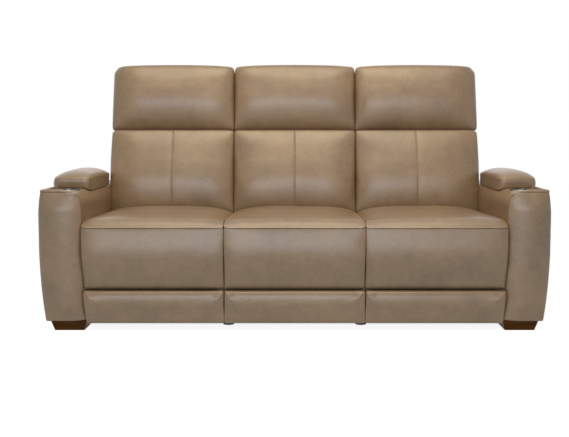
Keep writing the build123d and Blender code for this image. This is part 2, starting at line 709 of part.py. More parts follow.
def middle_frame():
    half = SEAT_W / 2 - MIDDLE_GAP
    with BuildPart() as frame:
        for side in (-1, 1):
            inner = side * (half - MIDDLE_BOARD_T)
            outer = side * half
            block(
                min(inner, outer), max(inner, outer), MIDDLE_FRONT_Y, MIDDLE_REAR_Y,
                LEG_H, SEAT_FRAME_TOP_Z,
            )
        block(-half, half, PAD_BACK_Y, MIDDLE_FRONT_Y, LEG_H + 12, UPPER_PAD_TOP_Z - 8)
        for y in (MIDDLE_FRONT_Y + 56, (MIDDLE_FRONT_Y + SEAT_REAR_Y) / 2 + 21, SEAT_REAR_Y - 24):
            block(
                -half + 2, half - 2, y - DECK_RAIL_W / 2, y + DECK_RAIL_W / 2,
                SEAT_FRAME_LOW_Z, SEAT_BOTTOM_Z,
            )
        for y in (LEG_FRONT_Y, SUPPLY_Y):
            block(
                -half + 2, half - 2, y - FLOOR_SLAT_W / 2, y + FLOOR_SLAT_W / 2,
                LEG_H, LEG_H + FLOOR_SLAT_T,
            )
        shell_board(0)
        # Posts that tie the back shell to the side panels
        rail = back_point(SHELL_FRONT_N + SHELL_T / 2, SHELL_LOW_U + RAIL_H / 2)
        shin = back_point(SHELL_FRONT_N + SHELL_T / 2, SHELL_LOW_U + RAIL_H + 60)
        for x in (-half + POST_INSET, half - POST_INSET - MIDDLE_BOARD_T):
            with BuildSketch(Plane.YZ.offset(x)):
                with BuildLine():
                    Polyline(
                        (POST_FOOT_Y, LEG_H),
                        (rail[0] + 12, LEG_H),
                        rail,
                        shin,
                        (rail[0] - 30, SEAT_FRAME_TOP_Z),
                        (POST_FOOT_Y, SEAT_FRAME_TOP_Z - 32),
                        close=True,
                    )
                make_face()
            extrude(amount=MIDDLE_BOARD_T)
        block(-half + 2, half - 2, LEG_REAR_Y - 42, REAR_PANEL_Y, LEG_H, LEG_H + 40)
    return frame


# Arms
def arm_profile(d):
    # Arm outline seen from the front, drawn in by d
    inner = ARM_INNER_X + d
    outer = ARM_OUTER_X - d
    top = ARM_TOP_Z - d
    Polyline((outer - ARM_TAPER, ARM_LOW_Z + d), (inner - ARM_FLARE, ARM_LOW_Z + d), (inner, 165), (inner, 530))
    ThreePointArc((inner, 530), (inner + 17, top - 16), (inner + 56, top))
    Line((inner + 56, top), (outer - 20, top))
    ThreePointArc((outer - 20, top), (outer - 9.5, top - 5), (outer - 7, top - 18))
    ThreePointArc((outer - 7, top - 18), (outer - 2, top - 66), (outer, 470))
    Line((outer, 470), (outer, 330))
    ThreePointArc((outer, 330), (outer - 9, 185), (outer - ARM_TAPER, ARM_LOW_Z + d))


def frame_section(grow):
    # Outline of the arm frame seen from the front, moved outward by grow
    Polyline(
        (ARM_FRAME_IN_X - grow, ARM_FRAME_LOW_Z - grow),
        (ARM_FRAME_FOOT_X + grow, ARM_FRAME_LOW_Z - grow),
        (ARM_FRAME_OUT_X + grow, 320),
        (ARM_FRAME_OUT_X + grow, ARM_FRAME_TOP_Z + min(grow, 0)),
        (ARM_FRAME_IN_X - grow, ARM_FRAME_TOP_Z + min(grow, 0)),
        close=True,
    )


def arm_frame():
    with BuildPart() as frame:
        with BuildSketch(Plane.XZ.offset(-ARM_FRAME_REAR_Y)):
            with BuildLine():
                frame_section(0)
            make_face()
        extrude(amount=ARM_FRAME_REAR_Y - ARM_FRAME_FRONT_Y)
        with BuildSketch(Plane.XZ.offset(-ARM_FRAME_REAR_Y + ARM_WALL)):
            with BuildLine():
                frame_section(-ARM_WALL)
            make_face()
        extrude(amount=ARM_FRAME_REAR_Y - ARM_FRAME_FRONT_Y - 2 * ARM_WALL, mode=Mode.SUBTRACT)
        # Storage bin inside the arm
        x0 = ARM_FRAME_IN_X + ARM_WALL - 1
        x1 = ARM_FRAME_OUT_X - ARM_WALL + 1
        block(x0, x1, BIN_FRONT_Y - 12, BIN_REAR_Y + 12, BIN_FLOOR_Z - 12, BIN_FLOOR_Z)
        block(x0, x1, BIN_FRONT_Y - 12, BIN_FRONT_Y, BIN_FLOOR_Z - 1, ARM_FRAME_TOP_Z - 2)
        block(x0, x1, BIN_REAR_Y, BIN_REAR_Y + 12, BIN_FLOOR_Z - 1, ARM_FRAME_TOP_Z - 2)
        with BuildSketch(Plane.XY.offset(ARM_FRAME_TOP_Z - ARM_WALL - 1)):
            with Locations((CUP_X, CUP_Y)):
                Circle(CUP_R + CUP_WALL + FIT_GAP)
            with Locations(((BIN_IN_X + BIN_OUT_X) / 2, (BIN_FRONT_Y + BIN_REAR_Y) / 2)):
                RectangleRounded(BIN_OUT_X - BIN_IN_X, BIN_REAR_Y - BIN_FRONT_Y - 16, 12)
        extrude(amount=ARM_WALL + 2, mode=Mode.SUBTRACT)
        # Hinge lugs for the lid
        for x in (LUG_IN_X, LUG_OUT_X):
            with BuildSketch(Plane.YZ.offset(x)):
                with Locations(LID_PIVOT):
                    Circle(8)
                with Locations((LID_PIVOT[0], (LID_PIVOT[1] + ARM_FRAME_TOP_Z) / 2 - 1)):
                    Rectangle(16, LID_PIVOT[1] - ARM_FRAME_TOP_Z + 2)
                with Locations(LID_PIVOT):
                    Circle(LID_PIN_R + RUN_CLEAR, mode=Mode.SUBTRACT)
            extrude(amount=LUG_T)
    return frame


def arm_cover():
    bevel_y = FRONT_Y + ARM_FRONT_BEVEL
    with BuildPart() as cover:
        with BuildSketch(Plane.XZ.offset(-ARM_REAR_Y)):
            with BuildLine():
                arm_profile(0)
            make_face()
        extrude(amount=ARM_REAR_Y - bevel_y)
        with BuildSketch(Plane.XZ.offset(-bevel_y)):
            with BuildLine():
                arm_profile(0)
            make_face()
        with BuildSketch(Plane.XZ.offset(-FRONT_Y)):
            with BuildLine():
                arm_profile(15)
            make_face()
        loft(ruled=True)
        # Room for the frame, open below
        with BuildSketch(Plane.XZ.offset(-ARM_FRAME_REAR_Y - FIT_GAP)):
            with BuildLine():
                frame_section(FIT_GAP)
            make_face()
        extrude(amount=ARM_FRAME_REAR_Y - ARM_FRAME_FRONT_Y + 2 * FIT_GAP, mode=Mode.SUBTRACT)
        block(
            ARM_FRAME_IN_X - FIT_GAP, ARM_FRAME_FOOT_X + FIT_GAP, ARM_FRAME_FRONT_Y - FIT_GAP,
            ARM_FRAME_REAR_Y + FIT_GAP, ARM_LOW_Z - 1, ARM_FRAME_LOW_Z + 2, Mode.SUBTRACT,
        )
        with BuildSketch(Plane.XY.offset(ARM_FRAME_TOP_Z - 2)):
            with Locations((CUP_X, CUP_Y)):
                Circle(CUP_R + CUP_WALL + FIT_GAP)
            with Locations(((BIN_IN_X + BIN_OUT_X) / 2, (BIN_FRONT_Y + BIN_REAR_Y) / 2)):
                RectangleRounded(BIN_OUT_X - BIN_IN_X + 2, BIN_REAR_Y - BIN_FRONT_Y - 14, 12)
            for x in (LUG_IN_X, LUG_OUT_X):
                with Locations((x + LUG_T / 2, LID_PIVOT[0])):
                    Rectangle(LUG_T + 2, 20)
        extrude(amount=ARM_TOP_Z - ARM_FRAME_TOP_Z + 6, mode=Mode.SUBTRACT)
        # Recess and ledge for the switch plate
        block(
            SWITCH_FACE_X - SWITCH_T, ARM_OUTER_X + 5, SWITCH_Y - SWITCH_L / 2 - FIT_GAP,
            SWITCH_Y + SWITCH_L / 2 + FIT_GAP, SWITCH_Z - SWITCH_H / 2 - FIT_GAP,
            SWITCH_Z + SWITCH_H / 2 + FIT_GAP, Mode.SUBTRACT,
        )
        block(
            SWITCH_FACE_X - SWITCH_T - 12, SWITCH_FACE_X, SWITCH_Y - SWITCH_L / 2 + 6,
            SWITCH_Y + SWITCH_L / 2 - 6, SWITCH_Z - SWITCH_H / 2 + 5, SWITCH_Z + SWITCH_H / 2 - 5,
            Mode.SUBTRACT,
        )
    return cover


LID_LEVELS = ((0, 5), (0.24 * LID_RISE, 0), (0.55 * LID_RISE, 4), (0.84 * LID_RISE, 22), (LID_RISE, 52))


def arm_lid():
    body = pillow(
        Plane.XY.offset(LID_LOW_Z), (LID_IN_X, LID_OUT_X, LID_FRONT_Y, LID_REAR_Y), LID_LEVELS, 1.5, 0.0
    )
    with BuildPart() as lid:
        add(body.part)
        block(
            LUG_IN_X + LUG_T + 4, LUG_OUT_X - 4, LID_REAR_Y - 20, LID_PIVOT[0] + 3,
            LID_PIVOT[1] - 3.4, LID_PIVOT[1] + 3.4,
        )
        round_bar(LUG_IN_X - 4, LUG_OUT_X + LUG_T - LUG_IN_X + 8, LID_PIVOT, LID_PIN_R)
    return lid


def cup_holder():
    # Pressed steel cup with a flat rim on the arm top
    rim_z = ARM_TOP_Z
    with BuildPart() as cup:
        with BuildSketch(Plane(origin=(CUP_X, CUP_Y, 0), x_dir=(1, 0, 0), z_dir=(0, -1, 0))):
            with BuildLine():
                Polyline(
                    (0, rim_z - CUP_DEPTH), (CUP_R, rim_z - CUP_DEPTH), (CUP_R, rim_z + 2),
                    (CUP_RIM_R - 1, rim_z + 2), (CUP_RIM_R, rim_z + 1), (CUP_RIM_R, rim_z),
                    (CUP_R + CUP_WALL, rim_z), (CUP_R + CUP_WALL, rim_z - CUP_DEPTH - CUP_WALL),
                    (0, rim_z - CUP_DEPTH - CUP_WALL), close=True,
                )
            make_face()
        revolve(axis=Axis((CUP_X, CUP_Y, 0), (0, 0, 1)))
    return cup


def switch_plate():
    with BuildPart() as plate:
        with BuildSketch(Plane.YZ.offset(SWITCH_FACE_X - SWITCH_T)):
            with Locations((SWITCH_Y, SWITCH_Z)):
                RectangleRounded(SWITCH_L, SWITCH_H, 6)
            for step in (-ROCKER_STEP, ROCKER_STEP):
                with Locations((SWITCH_Y + step, SWITCH_Z)):
                    Rectangle(ROCKER_L + 2 * ROCKER_PLAY, ROCKER_H + 2 * ROCKER_PLAY, mode=Mode.SUBTRACT)
        extrude(amount=SWITCH_T)
        # Axle holes beside each rocker
        for step in (-ROCKER_STEP, ROCKER_STEP):
            with Locations(Location((SWITCH_FACE_X - SWITCH_T / 2, SWITCH_Y + step, SWITCH_Z), (90, 0, 0))):
                Cylinder(ROCKER_AXLE_R + RUN_CLEAR, ROCKER_L + 6, mode=Mode.SUBTRACT)
    return plate


def rocker(step):
    half = ROCKER_H / 2
    low = SWITCH_FACE_X - SWITCH_T / 2 - ROCKER_T / 2
    high = low + ROCKER_T
    with BuildPart() as key:
        with BuildSketch(Plane(origin=(0, SWITCH_Y + step - ROCKER_L / 2, SWITCH_Z), x_dir=(1, 0, 0), z_dir=(0, -1, 0))):
            with BuildLine():
                Polyline((high, -half), (low, -half + 3), (low, half - 3), (high, half))
                ThreePointArc((high, half), (high - 1.6, 0), (high, -half))
            make_face()
        extrude(amount=-ROCKER_L)
        with Locations(Location((SWITCH_FACE_X - SWITCH_T / 2, SWITCH_Y + step, SWITCH_Z), (90, 0, 0))):
            Cylinder(ROCKER_AXLE_R, ROCKER_L + 5)
    return key


# Feet
def wooden_feet():
    with BuildPart() as feet:
        for y in (FOOT_FRONT_Y, FOOT_REAR_Y):
            with BuildSketch(Plane.XY.offset(0)):
                with Locations((FOOT_X, y)):
                    Rectangle(FOOT_LOW, FOOT_LOW)
            with BuildSketch(Plane.XY.offset(FOOT_H)):
                with Locations((FOOT_X, y)):
                    Rectangle(FOOT_TOP, FOOT_TOP)
            loft(ruled=True)
    return feet


def centre_legs():
    with BuildPart() as legs:
        for y in (LEG_FRONT_Y, LEG_REAR_Y):
            with Locations((LEG_X, y, LEG_H / 2)):
                Cone(LEG_R - 2, LEG_R, LEG_H)
    return legs


def power_supply():
    with BuildPart() as supply:
        low = LEG_H + FLOOR_SLAT_T
        high = low + SUPPLY_H
        block(-SUPPLY_L / 2, SUPPLY_L / 2, SUPPLY_Y - SUPPLY_W / 2, SUPPLY_Y + SUPPLY_W / 2, low, high)
        # Cooling slots across the top
        for i in range(6):
            x = (i - 2.5) * SUPPLY_L / 7
            block(
                x - 4, x + 4, SUPPLY_Y - SUPPLY_W / 2 + 12, SUPPLY_Y + SUPPLY_W / 2 - 12,
                high - 3, high + 1, Mode.SUBTRACT,
            )
    return supply


def rear_panel():
    half = ARM_INNER_X - ARM_FLARE - REAR_PANEL_GAP
    outside = REAR_PANEL_Y + REAR_PANEL_T
    with BuildPart() as panel:
        block(-half, half, REAR_PANEL_Y, outside, REAR_PANEL_LOW_Z, REAR_PANEL_TOP_Z)
        # Sewn grooves in line with the gaps between the seats
        for x in (-SEAT_W / 2, SEAT_W / 2):
            block(
                x - 3, x + 3, outside - 3, outside + 1, REAR_PANEL_LOW_Z - 1, REAR_PANEL_TOP_Z + 1, Mode.SUBTRACT,
            )
    return panel


# Fixed pieces
save(both_sides(recliner_base()), "recliner_bases")
save(both_sides(seat_frame()), "seat_frames")
save(middle_frame(), "middle_frame")
save(both_sides(wooden_feet()), "wooden_feet")
save(both_sides(centre_legs()), "centre_legs")
save(power_supply(), "power_supply")
save(rear_panel(), "rear_panel")
save(both_sides(cup_holder()), "cup_holders")
save(both_sides(switch_plate()), "switch_plates")
save(seat_cushion(0), "middle_seat_cushion")
save(front_pad(0, UPPER_PAD_LOW_Z, UPPER_PAD_TOP_Z, 0), "middle_upper_pad")
save(front_pad(0, LOWER_PAD_LOW_Z, LOWER_PAD_TOP_Z, 0), "middle_lower_pad")
save(back_cushion(0), "middle_back_cushion")
save(headrest_cushion(0, SHELL_FRONT_N, False), "middle_headrest_cushion")
save(back_cover(0, SHELL_LOW_U), "middle_back_cover")

LEG_TUBE_FRONT = -140.0
LEG_TUBE_REAR = 30.0
BACK_TUBE_FRONT = -40.0
BACK_TUBE_REAR = 104.0
HOUSING_L = 64.0
leg_motor = actuator(BAY_X + LEG_ROD_X, LEG_ROD_Z, LEG_TUBE_REAR, LEG_TUBE_FRONT, LEG_TUBE_REAR + HOUSING_L)
back_motor = actuator(BAY_X + BACK_ROD_X, BACK_ROD_Z, BACK_TUBE_FRONT, BACK_TUBE_REAR, BACK_TUBE_FRONT - HOUSING_L)
save(both_sides(leg_motor), "leg_motors")
save(both_sides(back_motor), "back_motors")

leg_rod = yoke_rod(
    BAY_X + LEG_ROD_X, LEG_ROD_Z, CRANK_PIN, 14, LEG_TUBE_REAR - 12,
    PIVOT_P1[1] - CRANK, CRANK_PIN[1],
)
back_rod = yoke_rod(
    BAY_X + BACK_ROD_X, BACK_ROD_Z, BACK_PIN, 14, BACK_TUBE_FRONT + 78,
    BACK_PIVOT[1] - BACK_CRANK, BACK_PIN[1],
)

# Handed pieces, right then left
handed = (
    (seat_cushion(BAY_X), "seat_cushion"),
    (rear_links(), "rear_links"),
    (carrier_links(), "carrier_links"),
    (front_links(), "front_links"),
    (upper_links(), "upper_links"),
    (legrest_frame(), "legrest_frame"),
    (front_pad(BAY_X, UPPER_PAD_LOW_Z, UPPER_PAD_TOP_Z, 0), "upper_pad"),
    (front_pad(BAY_X, LOWER_PAD_LOW_Z, LOWER_PAD_TOP_Z, LOWER_PAD_TAPER), "lower_pad"),
    (leg_rod, "leg_rod"),
    (back_frame(), "back_frame"),
    (back_cushion(BAY_X), "back_cushion"),
    (back_cover(BAY_X, SHELL_LOW_U), "back_cover"),
    (back_rod, "back_rod"),
    (headrest_frame(), "headrest_frame"),
    (headrest_cushion(BAY_X, HEAD_DEPTH, True), "headrest_cushion"),
    (arm_frame(), "arm_frame"),
    (arm_cover(), "arm_cover"),
    (arm_lid(), "arm_lid"),
    (rocker(-ROCKER_STEP), "recline_rocker"),
    (rocker(ROCKER_STEP), "headrest_rocker"),
)
for piece, name in handed:
    save(piece, "right_" + name)
    save(mirrored(piece), "left_" + name)
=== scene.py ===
"""Looks of a three-seat power reclining sofa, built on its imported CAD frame. Metres, front toward -Y."""

import json
import math

import bpy
import numpy as np
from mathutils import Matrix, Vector, noise


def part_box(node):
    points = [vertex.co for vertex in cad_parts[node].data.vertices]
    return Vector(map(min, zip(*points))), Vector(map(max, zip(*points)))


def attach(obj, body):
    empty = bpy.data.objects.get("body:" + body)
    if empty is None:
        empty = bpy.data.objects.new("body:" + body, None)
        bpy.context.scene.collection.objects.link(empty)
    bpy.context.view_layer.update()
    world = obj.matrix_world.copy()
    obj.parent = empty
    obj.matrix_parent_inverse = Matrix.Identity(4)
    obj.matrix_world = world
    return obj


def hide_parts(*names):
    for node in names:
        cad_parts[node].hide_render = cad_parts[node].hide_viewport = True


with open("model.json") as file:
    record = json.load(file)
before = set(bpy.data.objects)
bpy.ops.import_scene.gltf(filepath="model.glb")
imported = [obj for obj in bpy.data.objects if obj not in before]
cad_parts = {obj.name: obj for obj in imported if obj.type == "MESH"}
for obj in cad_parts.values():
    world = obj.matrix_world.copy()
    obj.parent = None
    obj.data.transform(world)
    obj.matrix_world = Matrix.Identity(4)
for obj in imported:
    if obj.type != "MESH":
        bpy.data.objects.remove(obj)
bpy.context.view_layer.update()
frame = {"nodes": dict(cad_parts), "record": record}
SCENE = bpy.context.scene

# Sizes that come from the frame
SEAT_LOW, SEAT_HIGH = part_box("middle_seat_cushion")
BAY_LOW, BAY_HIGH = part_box("right_seat_cushion")
PAD_LOW, PAD_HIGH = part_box("middle_upper_pad")
KICK_LOW, KICK_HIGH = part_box("middle_lower_pad")
ARM_LOW, ARM_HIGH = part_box("right_arm_cover")
LID_LOW, LID_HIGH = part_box("right_arm_lid")
CUP_LOW, CUP_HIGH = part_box("cup_holders")
PLATE_LOW, PLATE_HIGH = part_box("switch_plates")
COVER_LOW, COVER_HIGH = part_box("middle_back_cover")

FRONT_Y = ARM_LOW.y
BAY_X = (BAY_LOW.x + BAY_HIGH.x) / 2

# The back leans about its front plane. Spans run up along that plane, depths run behind it
BACK_LEAN = math.radians(14.0)
BACK_FACE = (0.118, 0.480)
BACK_SPAN = (-0.034, 0.3755)
HEAD_SPAN = (0.3795, 0.6935)
SHELL_SPAN = (-0.070, 0.6465)
BACK_DEPTH = 0.145
HEAD_DEPTH = 0.120
FACE_DEPTH = 0.002
SHELL_REAR = 0.2105

# Upholstery. The seat's nose overhangs the wall behind the front pads
SIDE = 0.2964
NOSE_UNDER = 0.437
NOSE_WALL = -0.388
ARM_INNER = 0.891
ARM_OUTER = 1.070
ARM_ROUND = 0.058
CUSHION_FILL = 0.7
COVER_FILL = 0.9
CLOTH_FRAMES = 20
CLOTH_PRESSURE = 4.0

# Columns of a local place, and edges of a padded form
X, H, F = range(3)
LOW_EDGE = 2
TINY = 1e-9


# Planes: a local (x, h, f) place, with h up the piece and f toward its face

def plane(x, origin, up):
    face = np.cross((1.0, 0.0, 0.0), up)
    return {"origin": np.array((x, *origin)), "axes": np.array(((1.0, 0.0, 0.0), up, face))}


def front_plane(x):
    return plane(x, (0.0, 0.0), (0.0, 0.0, 1.0))


def top_plane(x):
    return plane(x, (0.0, 0.0), (0.0, 1.0, 0.0))


def back_plane(x):
    return plane(x, BACK_FACE, (0.0, math.sin(BACK_LEAN), math.cos(BACK_LEAN)))


def rear_plane(x):
    """The back's plane, facing backward."""
    place = back_plane(x)
    place["axes"] = place["axes"] * np.array(((-1.0,), (1.0,), (-1.0,)))
    return place


def to_world(place, local):
    return local @ place["axes"] + place["origin"]


def to_local(place, world):
    return (world - place["origin"]) @ place["axes"].T


# Padded forms: a grid over a box, its corners and face edges rounded

EDGE_LINES = 9
EDGE_CROWDING = 1.8
SEAM_LINES = (-0.010, -0.005, -0.002, 0.0, 0.002, 0.005, 0.010)
SEAM_ROOM = 0.0125
LEAST_SPACE = 0.0008
LAYER_CROWDING = 2.2
SLANT_POWER = 2.6
GRID_STEP = 0.013


def grid_lines(low, high, round_low, round_high, step, seams=()):
    """Grid values from low to high, close together over rounded edges and beside seams."""
    inner_low, inner_high = low + round_low, high - round_high
    count = max(2, round((inner_high - inner_low) / step) + 1)
    near = np.linspace(0, 1, EDGE_LINES) ** EDGE_CROWDING
    lines = list(low + round_low * near) + list(np.linspace(inner_low, inner_high, count))
    lines += list(high - round_high * near)
    for seam in seams:
        lines = [v for v in lines if abs(v - seam) > SEAM_ROOM] + [seam + offset for offset in SEAM_LINES]
    lines = sorted(lines)
    kept = [lines[0]]
    for value in lines[1:]:
        if value - kept[-1] > LEAST_SPACE:
            kept.append(value)
    return np.array(kept)


def box_grid(nx, nh, nf):
    """Grid indices over the six sides of a box, and the quads between them."""
    index, points, quads = {}, [], []

    def at(*key):
        if key not in index:
            index[key] = len(points)
            points.append(key)
        return index[key]

    for i in range(nx - 1):
        for j in range(nh - 1):
            quads.append((at(i, j, 0), at(i, j + 1, 0), at(i + 1, j + 1, 0), at(i + 1, j, 0)))
            k = nf - 1
            quads.append((at(i, j, k), at(i + 1, j, k), at(i + 1, j + 1, k), at(i, j + 1, k)))
    for i in range(nx - 1):
        for k in range(nf - 1):
            quads.append((at(i, 0, k), at(i + 1, 0, k), at(i + 1, 0, k + 1), at(i, 0, k + 1)))
            j = nh - 1
            quads.append((at(i, j, k), at(i, j, k + 1), at(i + 1, j, k + 1), at(i + 1, j, k)))
    for j in range(nh - 1):
        for k in range(nf - 1):
            quads.append((at(0, j, k), at(0, j, k + 1), at(0, j + 1, k + 1), at(0, j + 1, k)))
            i = nx - 1
            quads.append((at(i, j, k), at(i, j + 1, k), at(i, j + 1, k + 1), at(i, j, k + 1)))
    return np.array(points), quads


def round_corners(x, h, size, corner):
    """Moves grid points so that the box's outline gets its rounded corners.

    corner holds the radii at left, right, low and high. high may be a pair, for left and right."""
    x0, x1, h0, h1 = size[:4]
    left, right, low, high = corner
    cx = np.clip(x, x0 + left, x1 - right)
    dx = x - cx
    if isinstance(high, tuple):
        high = np.where(dx > 0, high[1], high[0])
    ch = np.clip(h, h0 + low, h1 - high)
    dh = h - ch
    rx = np.where(dx > 0, right, left)
    rh = np.where(dh > 0, high, low)
    ux, uh = dx / rx, dh / rh
    reach = np.maximum(abs(ux), abs(uh))
    length = np.hypot(ux, uh)
    scale = np.where(length > TINY, reach / np.maximum(length, TINY), 1.0)
    return cx + ux * scale * rx, ch + uh * scale * rh


def soft_form(
    size, corner, edge, depth, layers, step=GRID_STEP, rear_edge=0.012, seams=((), ()), onset=2.6, slant=(),
):
    """Points, quads and face share of a padded box, with the loop round its face.

    At left, right, low and high its face falls by depth over the width edge. A depth may be a function
    of the height. At the edges in slant the face falls without turning under."""
    x0, x1, h0, h1, f0, f1 = size
    xs = grid_lines(x0, x1, edge[0], edge[1], step, seams[0])
    hs = grid_lines(h0, h1, edge[2], edge[3], step, seams[1])
    keys, quads = box_grid(len(xs), len(hs), layers)
    x, h = xs[keys[:, 0]], hs[keys[:, 1]]
    insets = ((x - x0) / edge[0], (x1 - x) / edge[1], (h - h0) / edge[2], (h1 - h) / edge[3])
    deepest = max(d(0.0) if callable(d) else d for d in depth)
    level = np.ones(len(x))
    free = np.ones(len(x))
    upward = (h - h0) / (h1 - h0)
    for number, (inset, fall) in enumerate(zip(insets, depth)):
        fall = fall(upward) if callable(fall) else fall
        rim = 1 - np.clip(inset, 0, 1)
        rounded = np.sqrt(1 - rim**onset)
        level *= 1 - fall / deepest * (rim**SLANT_POWER if number in slant else 1 - rounded)
        free *= rounded
    face = f1 - deepest * (1 - level)
    share = 1 - (1 - keys[:, 2] / (layers - 1)) ** LAYER_CROWDING
    f = f0 + rear_edge + share * (face - f0 - rear_edge)
    f = np.where(keys[:, 2] == 0, f0 + rear_edge * (1 - free), f)
    facing = np.where(keys[:, 2] == layers - 1, free, 0.0)
    found = {tuple(key): i for i, key in enumerate(keys)}
    nx, nh, k = len(xs), len(hs), layers - 1
    loop = [(i, 0, k) for i in range(nx)] + [(nx - 1, j, k) for j in range(1, nh)]
    loop += [(i, nh - 1, k) for i in range(nx - 2, -1, -1)] + [(0, j, k) for j in range(nh - 2, 0, -1)]
    x, h = round_corners(x, h, size, corner)
    return {
        "local": np.stack((x, h, f), 1), "quads": quads, "facing": facing,
        "loop": [found[key] for key in loop], "counts": (nx, nh),
        "ridge": [found[(nx - 1, nh - 1, layer)] for layer in range(layers)],
    }


def shares(local, size):
    """x from -1 to 1 and h from 0 to 1 across a piece."""
    across = (2 * local[:, X] - size[0] - size[1]) / (size[1] - size[0])
    upward = (local[:, H] - size[2]) / (size[3] - size[2])
    return across, upward


def hump(value, middle, width):
    return np.exp(-(((value - middle) / width) ** 2))


SEED_STEPS = (3.1, 1.7, 2.3)
FOLD_COUNT = 7
FOLD_HEIGHT = 0.0035
FOLD_REACH = 0.055


def undulate(form, seed, height, scale=5.0):
    """Slow uneven give of the leather, along the face."""
    shift = Vector([seed * step for step in SEED_STEPS])
    local = form["local"]
    wave = np.array([noise.noise(Vector(p) * scale + shift) for p in local])
    local[:, F] += height * wave * np.clip(form["facing"] * 2, 0, 1)
    return form


def pucker(form, size, corners):
    """Leather drawn in small folds toward corners of the face: 0 low left, 1 low right, 2 top left, 3 top right."""
    local = form["local"]
    for corner in corners:
        dx = local[:, X] - size[corner % 2]
        dh = local[:, H] - size[2 + corner // 2]
        reach = np.hypot(dx, dh)
        folds = np.sin(FOLD_COUNT * np.arctan2(abs(dh), abs(dx)) + corner)
        local[:, F] += form["facing"] * FOLD_HEIGHT * folds * np.exp(-((reach / FOLD_REACH) ** 2))


def make_mesh(name, world, quads, flip=False):
    mesh = bpy.data.meshes.new(name)
    if flip:
        world = world * (-1, 1, 1)
        quads = [q[::-1] for q in quads]
    mesh.from_pydata([tuple(p) for p in world], [], quads)
    smooth_faces(mesh)
    return link_object(name, mesh)


def smooth_faces(mesh):
    mesh.polygons.foreach_set("use_smooth", [True] * len(mesh.polygons))


def link_object(name, data):
    obj = bpy.data.objects.new(name, data)
    SCENE.collection.objects.link(obj)
    return obj


def points_of(mesh):
    co = np.zeros(len(mesh.vertices) * 3)
    mesh.vertices.foreach_get("co", co)
    return co.reshape(-1, 3)


def normals_of(mesh):
    normals = np.zeros(len(mesh.vertices) * 3)
    mesh.vertices.foreach_get("normal", normals)
    return normals.reshape(-1, 3)


def set_points(mesh, points):
    mesh.vertices.foreach_set("co", points.astype(np.float32).ravel())
    mesh.update()


def mirror_of(piece):
    return np.array((-1, 1, 1)) if piece["flip"] else np.ones(3)


# The pieces. Neighbours almost touch, and free is 1 on end pieces, which swell a little on their free side

def seat_form(seed):
    ahead, tucked, sunk = 0.004, 0.022, 0.004
    size = (-SIDE, SIDE, FRONT_Y - ahead, SEAT_HIGH.y + tucked, SEAT_LOW.z, SEAT_HIGH.z - sunk)
    form = soft_form(
        size, corner=(0.016, 0.016, 0.016, 0.024), edge=(0.085, 0.085, 0.085, 0.060),
        depth=(0.012, 0.012, 0.0395, 0.014), layers=10, seams=((), (NOSE_WALL,)), slant=(LOW_EDGE,),
    )
    local = form["local"]
    across, along = shares(local, size)
    crown, side_drop = 0.004, 0.026
    local[:, F] += form["facing"] * crown * (1 - across**2) * hump(along, 0.5, 0.5)
    lowered = side_drop * abs(across) ** 3.5 * np.clip(along, 0, 1) ** 0.8
    local[:, F] -= lowered * (local[:, F] > NOSE_UNDER + 0.001)
    overhangs = local[:, H] < NOSE_WALL
    local[:, F] = np.where(overhangs, np.maximum(local[:, F], NOSE_UNDER), local[:, F])
    return undulate(form, seed, 0.0024)


def pad_side(upward):
    """How far the side edges of a front pad roll in, least beside the seat."""
    most, eased = 0.026, 0.85
    return most * (1 - eased * upward**1.2)


def pad_form(seed):
    low_gap, high_gap = 0.0005, 0.0004
    size = (-SIDE, SIDE, PAD_LOW.z + low_gap, NOSE_UNDER - high_gap, -PAD_HIGH.y, -FRONT_Y)
    form = soft_form(
        size, corner=(0.006, 0.006, 0.012, 0.003), edge=(0.100, 0.100, 0.130, 0.004),
        depth=(pad_side, pad_side, 0.028, 0.0010), layers=8, onset=2.3,
    )
    local = form["local"]
    _, upward = shares(local, size)
    belly, drawn_in = 0.017, 0.001
    local[:, F] += belly * hump(upward, 0.56, 0.34) - drawn_in * np.clip(upward, 0, 1) ** 5
    pucker(form, size, (0, 1))
    return undulate(form, seed, 0.0018)


def kick_form(seed, taper):
    """taper is how far its right side draws in at the bottom, beside an arm."""
    below, above = 0.004, 0.001
    size = (-SIDE, SIDE, KICK_LOW.z - below, KICK_HIGH.z + above, -KICK_HIGH.y, -FRONT_Y)
    form = soft_form(
        size, corner=(0.006, 0.006, 0.006, 0.012), edge=(0.030, 0.030, 0.030, 0.064),
        depth=(0.005, 0.005, 0.010, 0.012), layers=8,
    )
    local = form["local"]
    across, upward = shares(local, size)
    belly, drawn_in = 0.010, 0.006
    local[:, X] -= taper * (1 - upward) * (across + 1) / 2
    local[:, F] += form["facing"] * (belly * hump(upward, 0.85, 0.45) - drawn_in * (1 - upward) ** 2)
    pucker(form, size, (2, 3))
    return undulate(form, seed, 0.0016)


def back_side(upward):
    """How far the side edges of a back cushion roll in, least at its top."""
    most, eased = 0.048, 0.6
    return most * (1 - eased * upward**2)


def back_form(seed, free):
    size = (-SIDE, SIDE, *BACK_SPAN, -BACK_DEPTH, -FACE_DEPTH)
    form = soft_form(
        size, corner=(0.006, 0.006 + 0.016 * free, 0.010, 0.014), edge=(0.150, 0.150, 0.240, 0.090),
        depth=(back_side, back_side, 0.050, 0.020), layers=8, onset=2.2, seams=((0.0,), ()),
    )
    local = form["local"]
    across, upward = shares(local, size)
    bulge, top_draw, lumbar = 0.011, 0.003, 0.026
    local[:, X] += free * bulge * hump(upward, 0.50, 0.50) * np.clip(across, 0, 1) ** 3
    local[:, X] -= free * top_draw * upward**2 * np.clip(across, 0, 1) ** 3
    local[:, F] += form["facing"] * lumbar * hump(upward, 0.32, 0.36) * (1 - 0.35 * across**2)
    return undulate(form, seed, 0.0026)


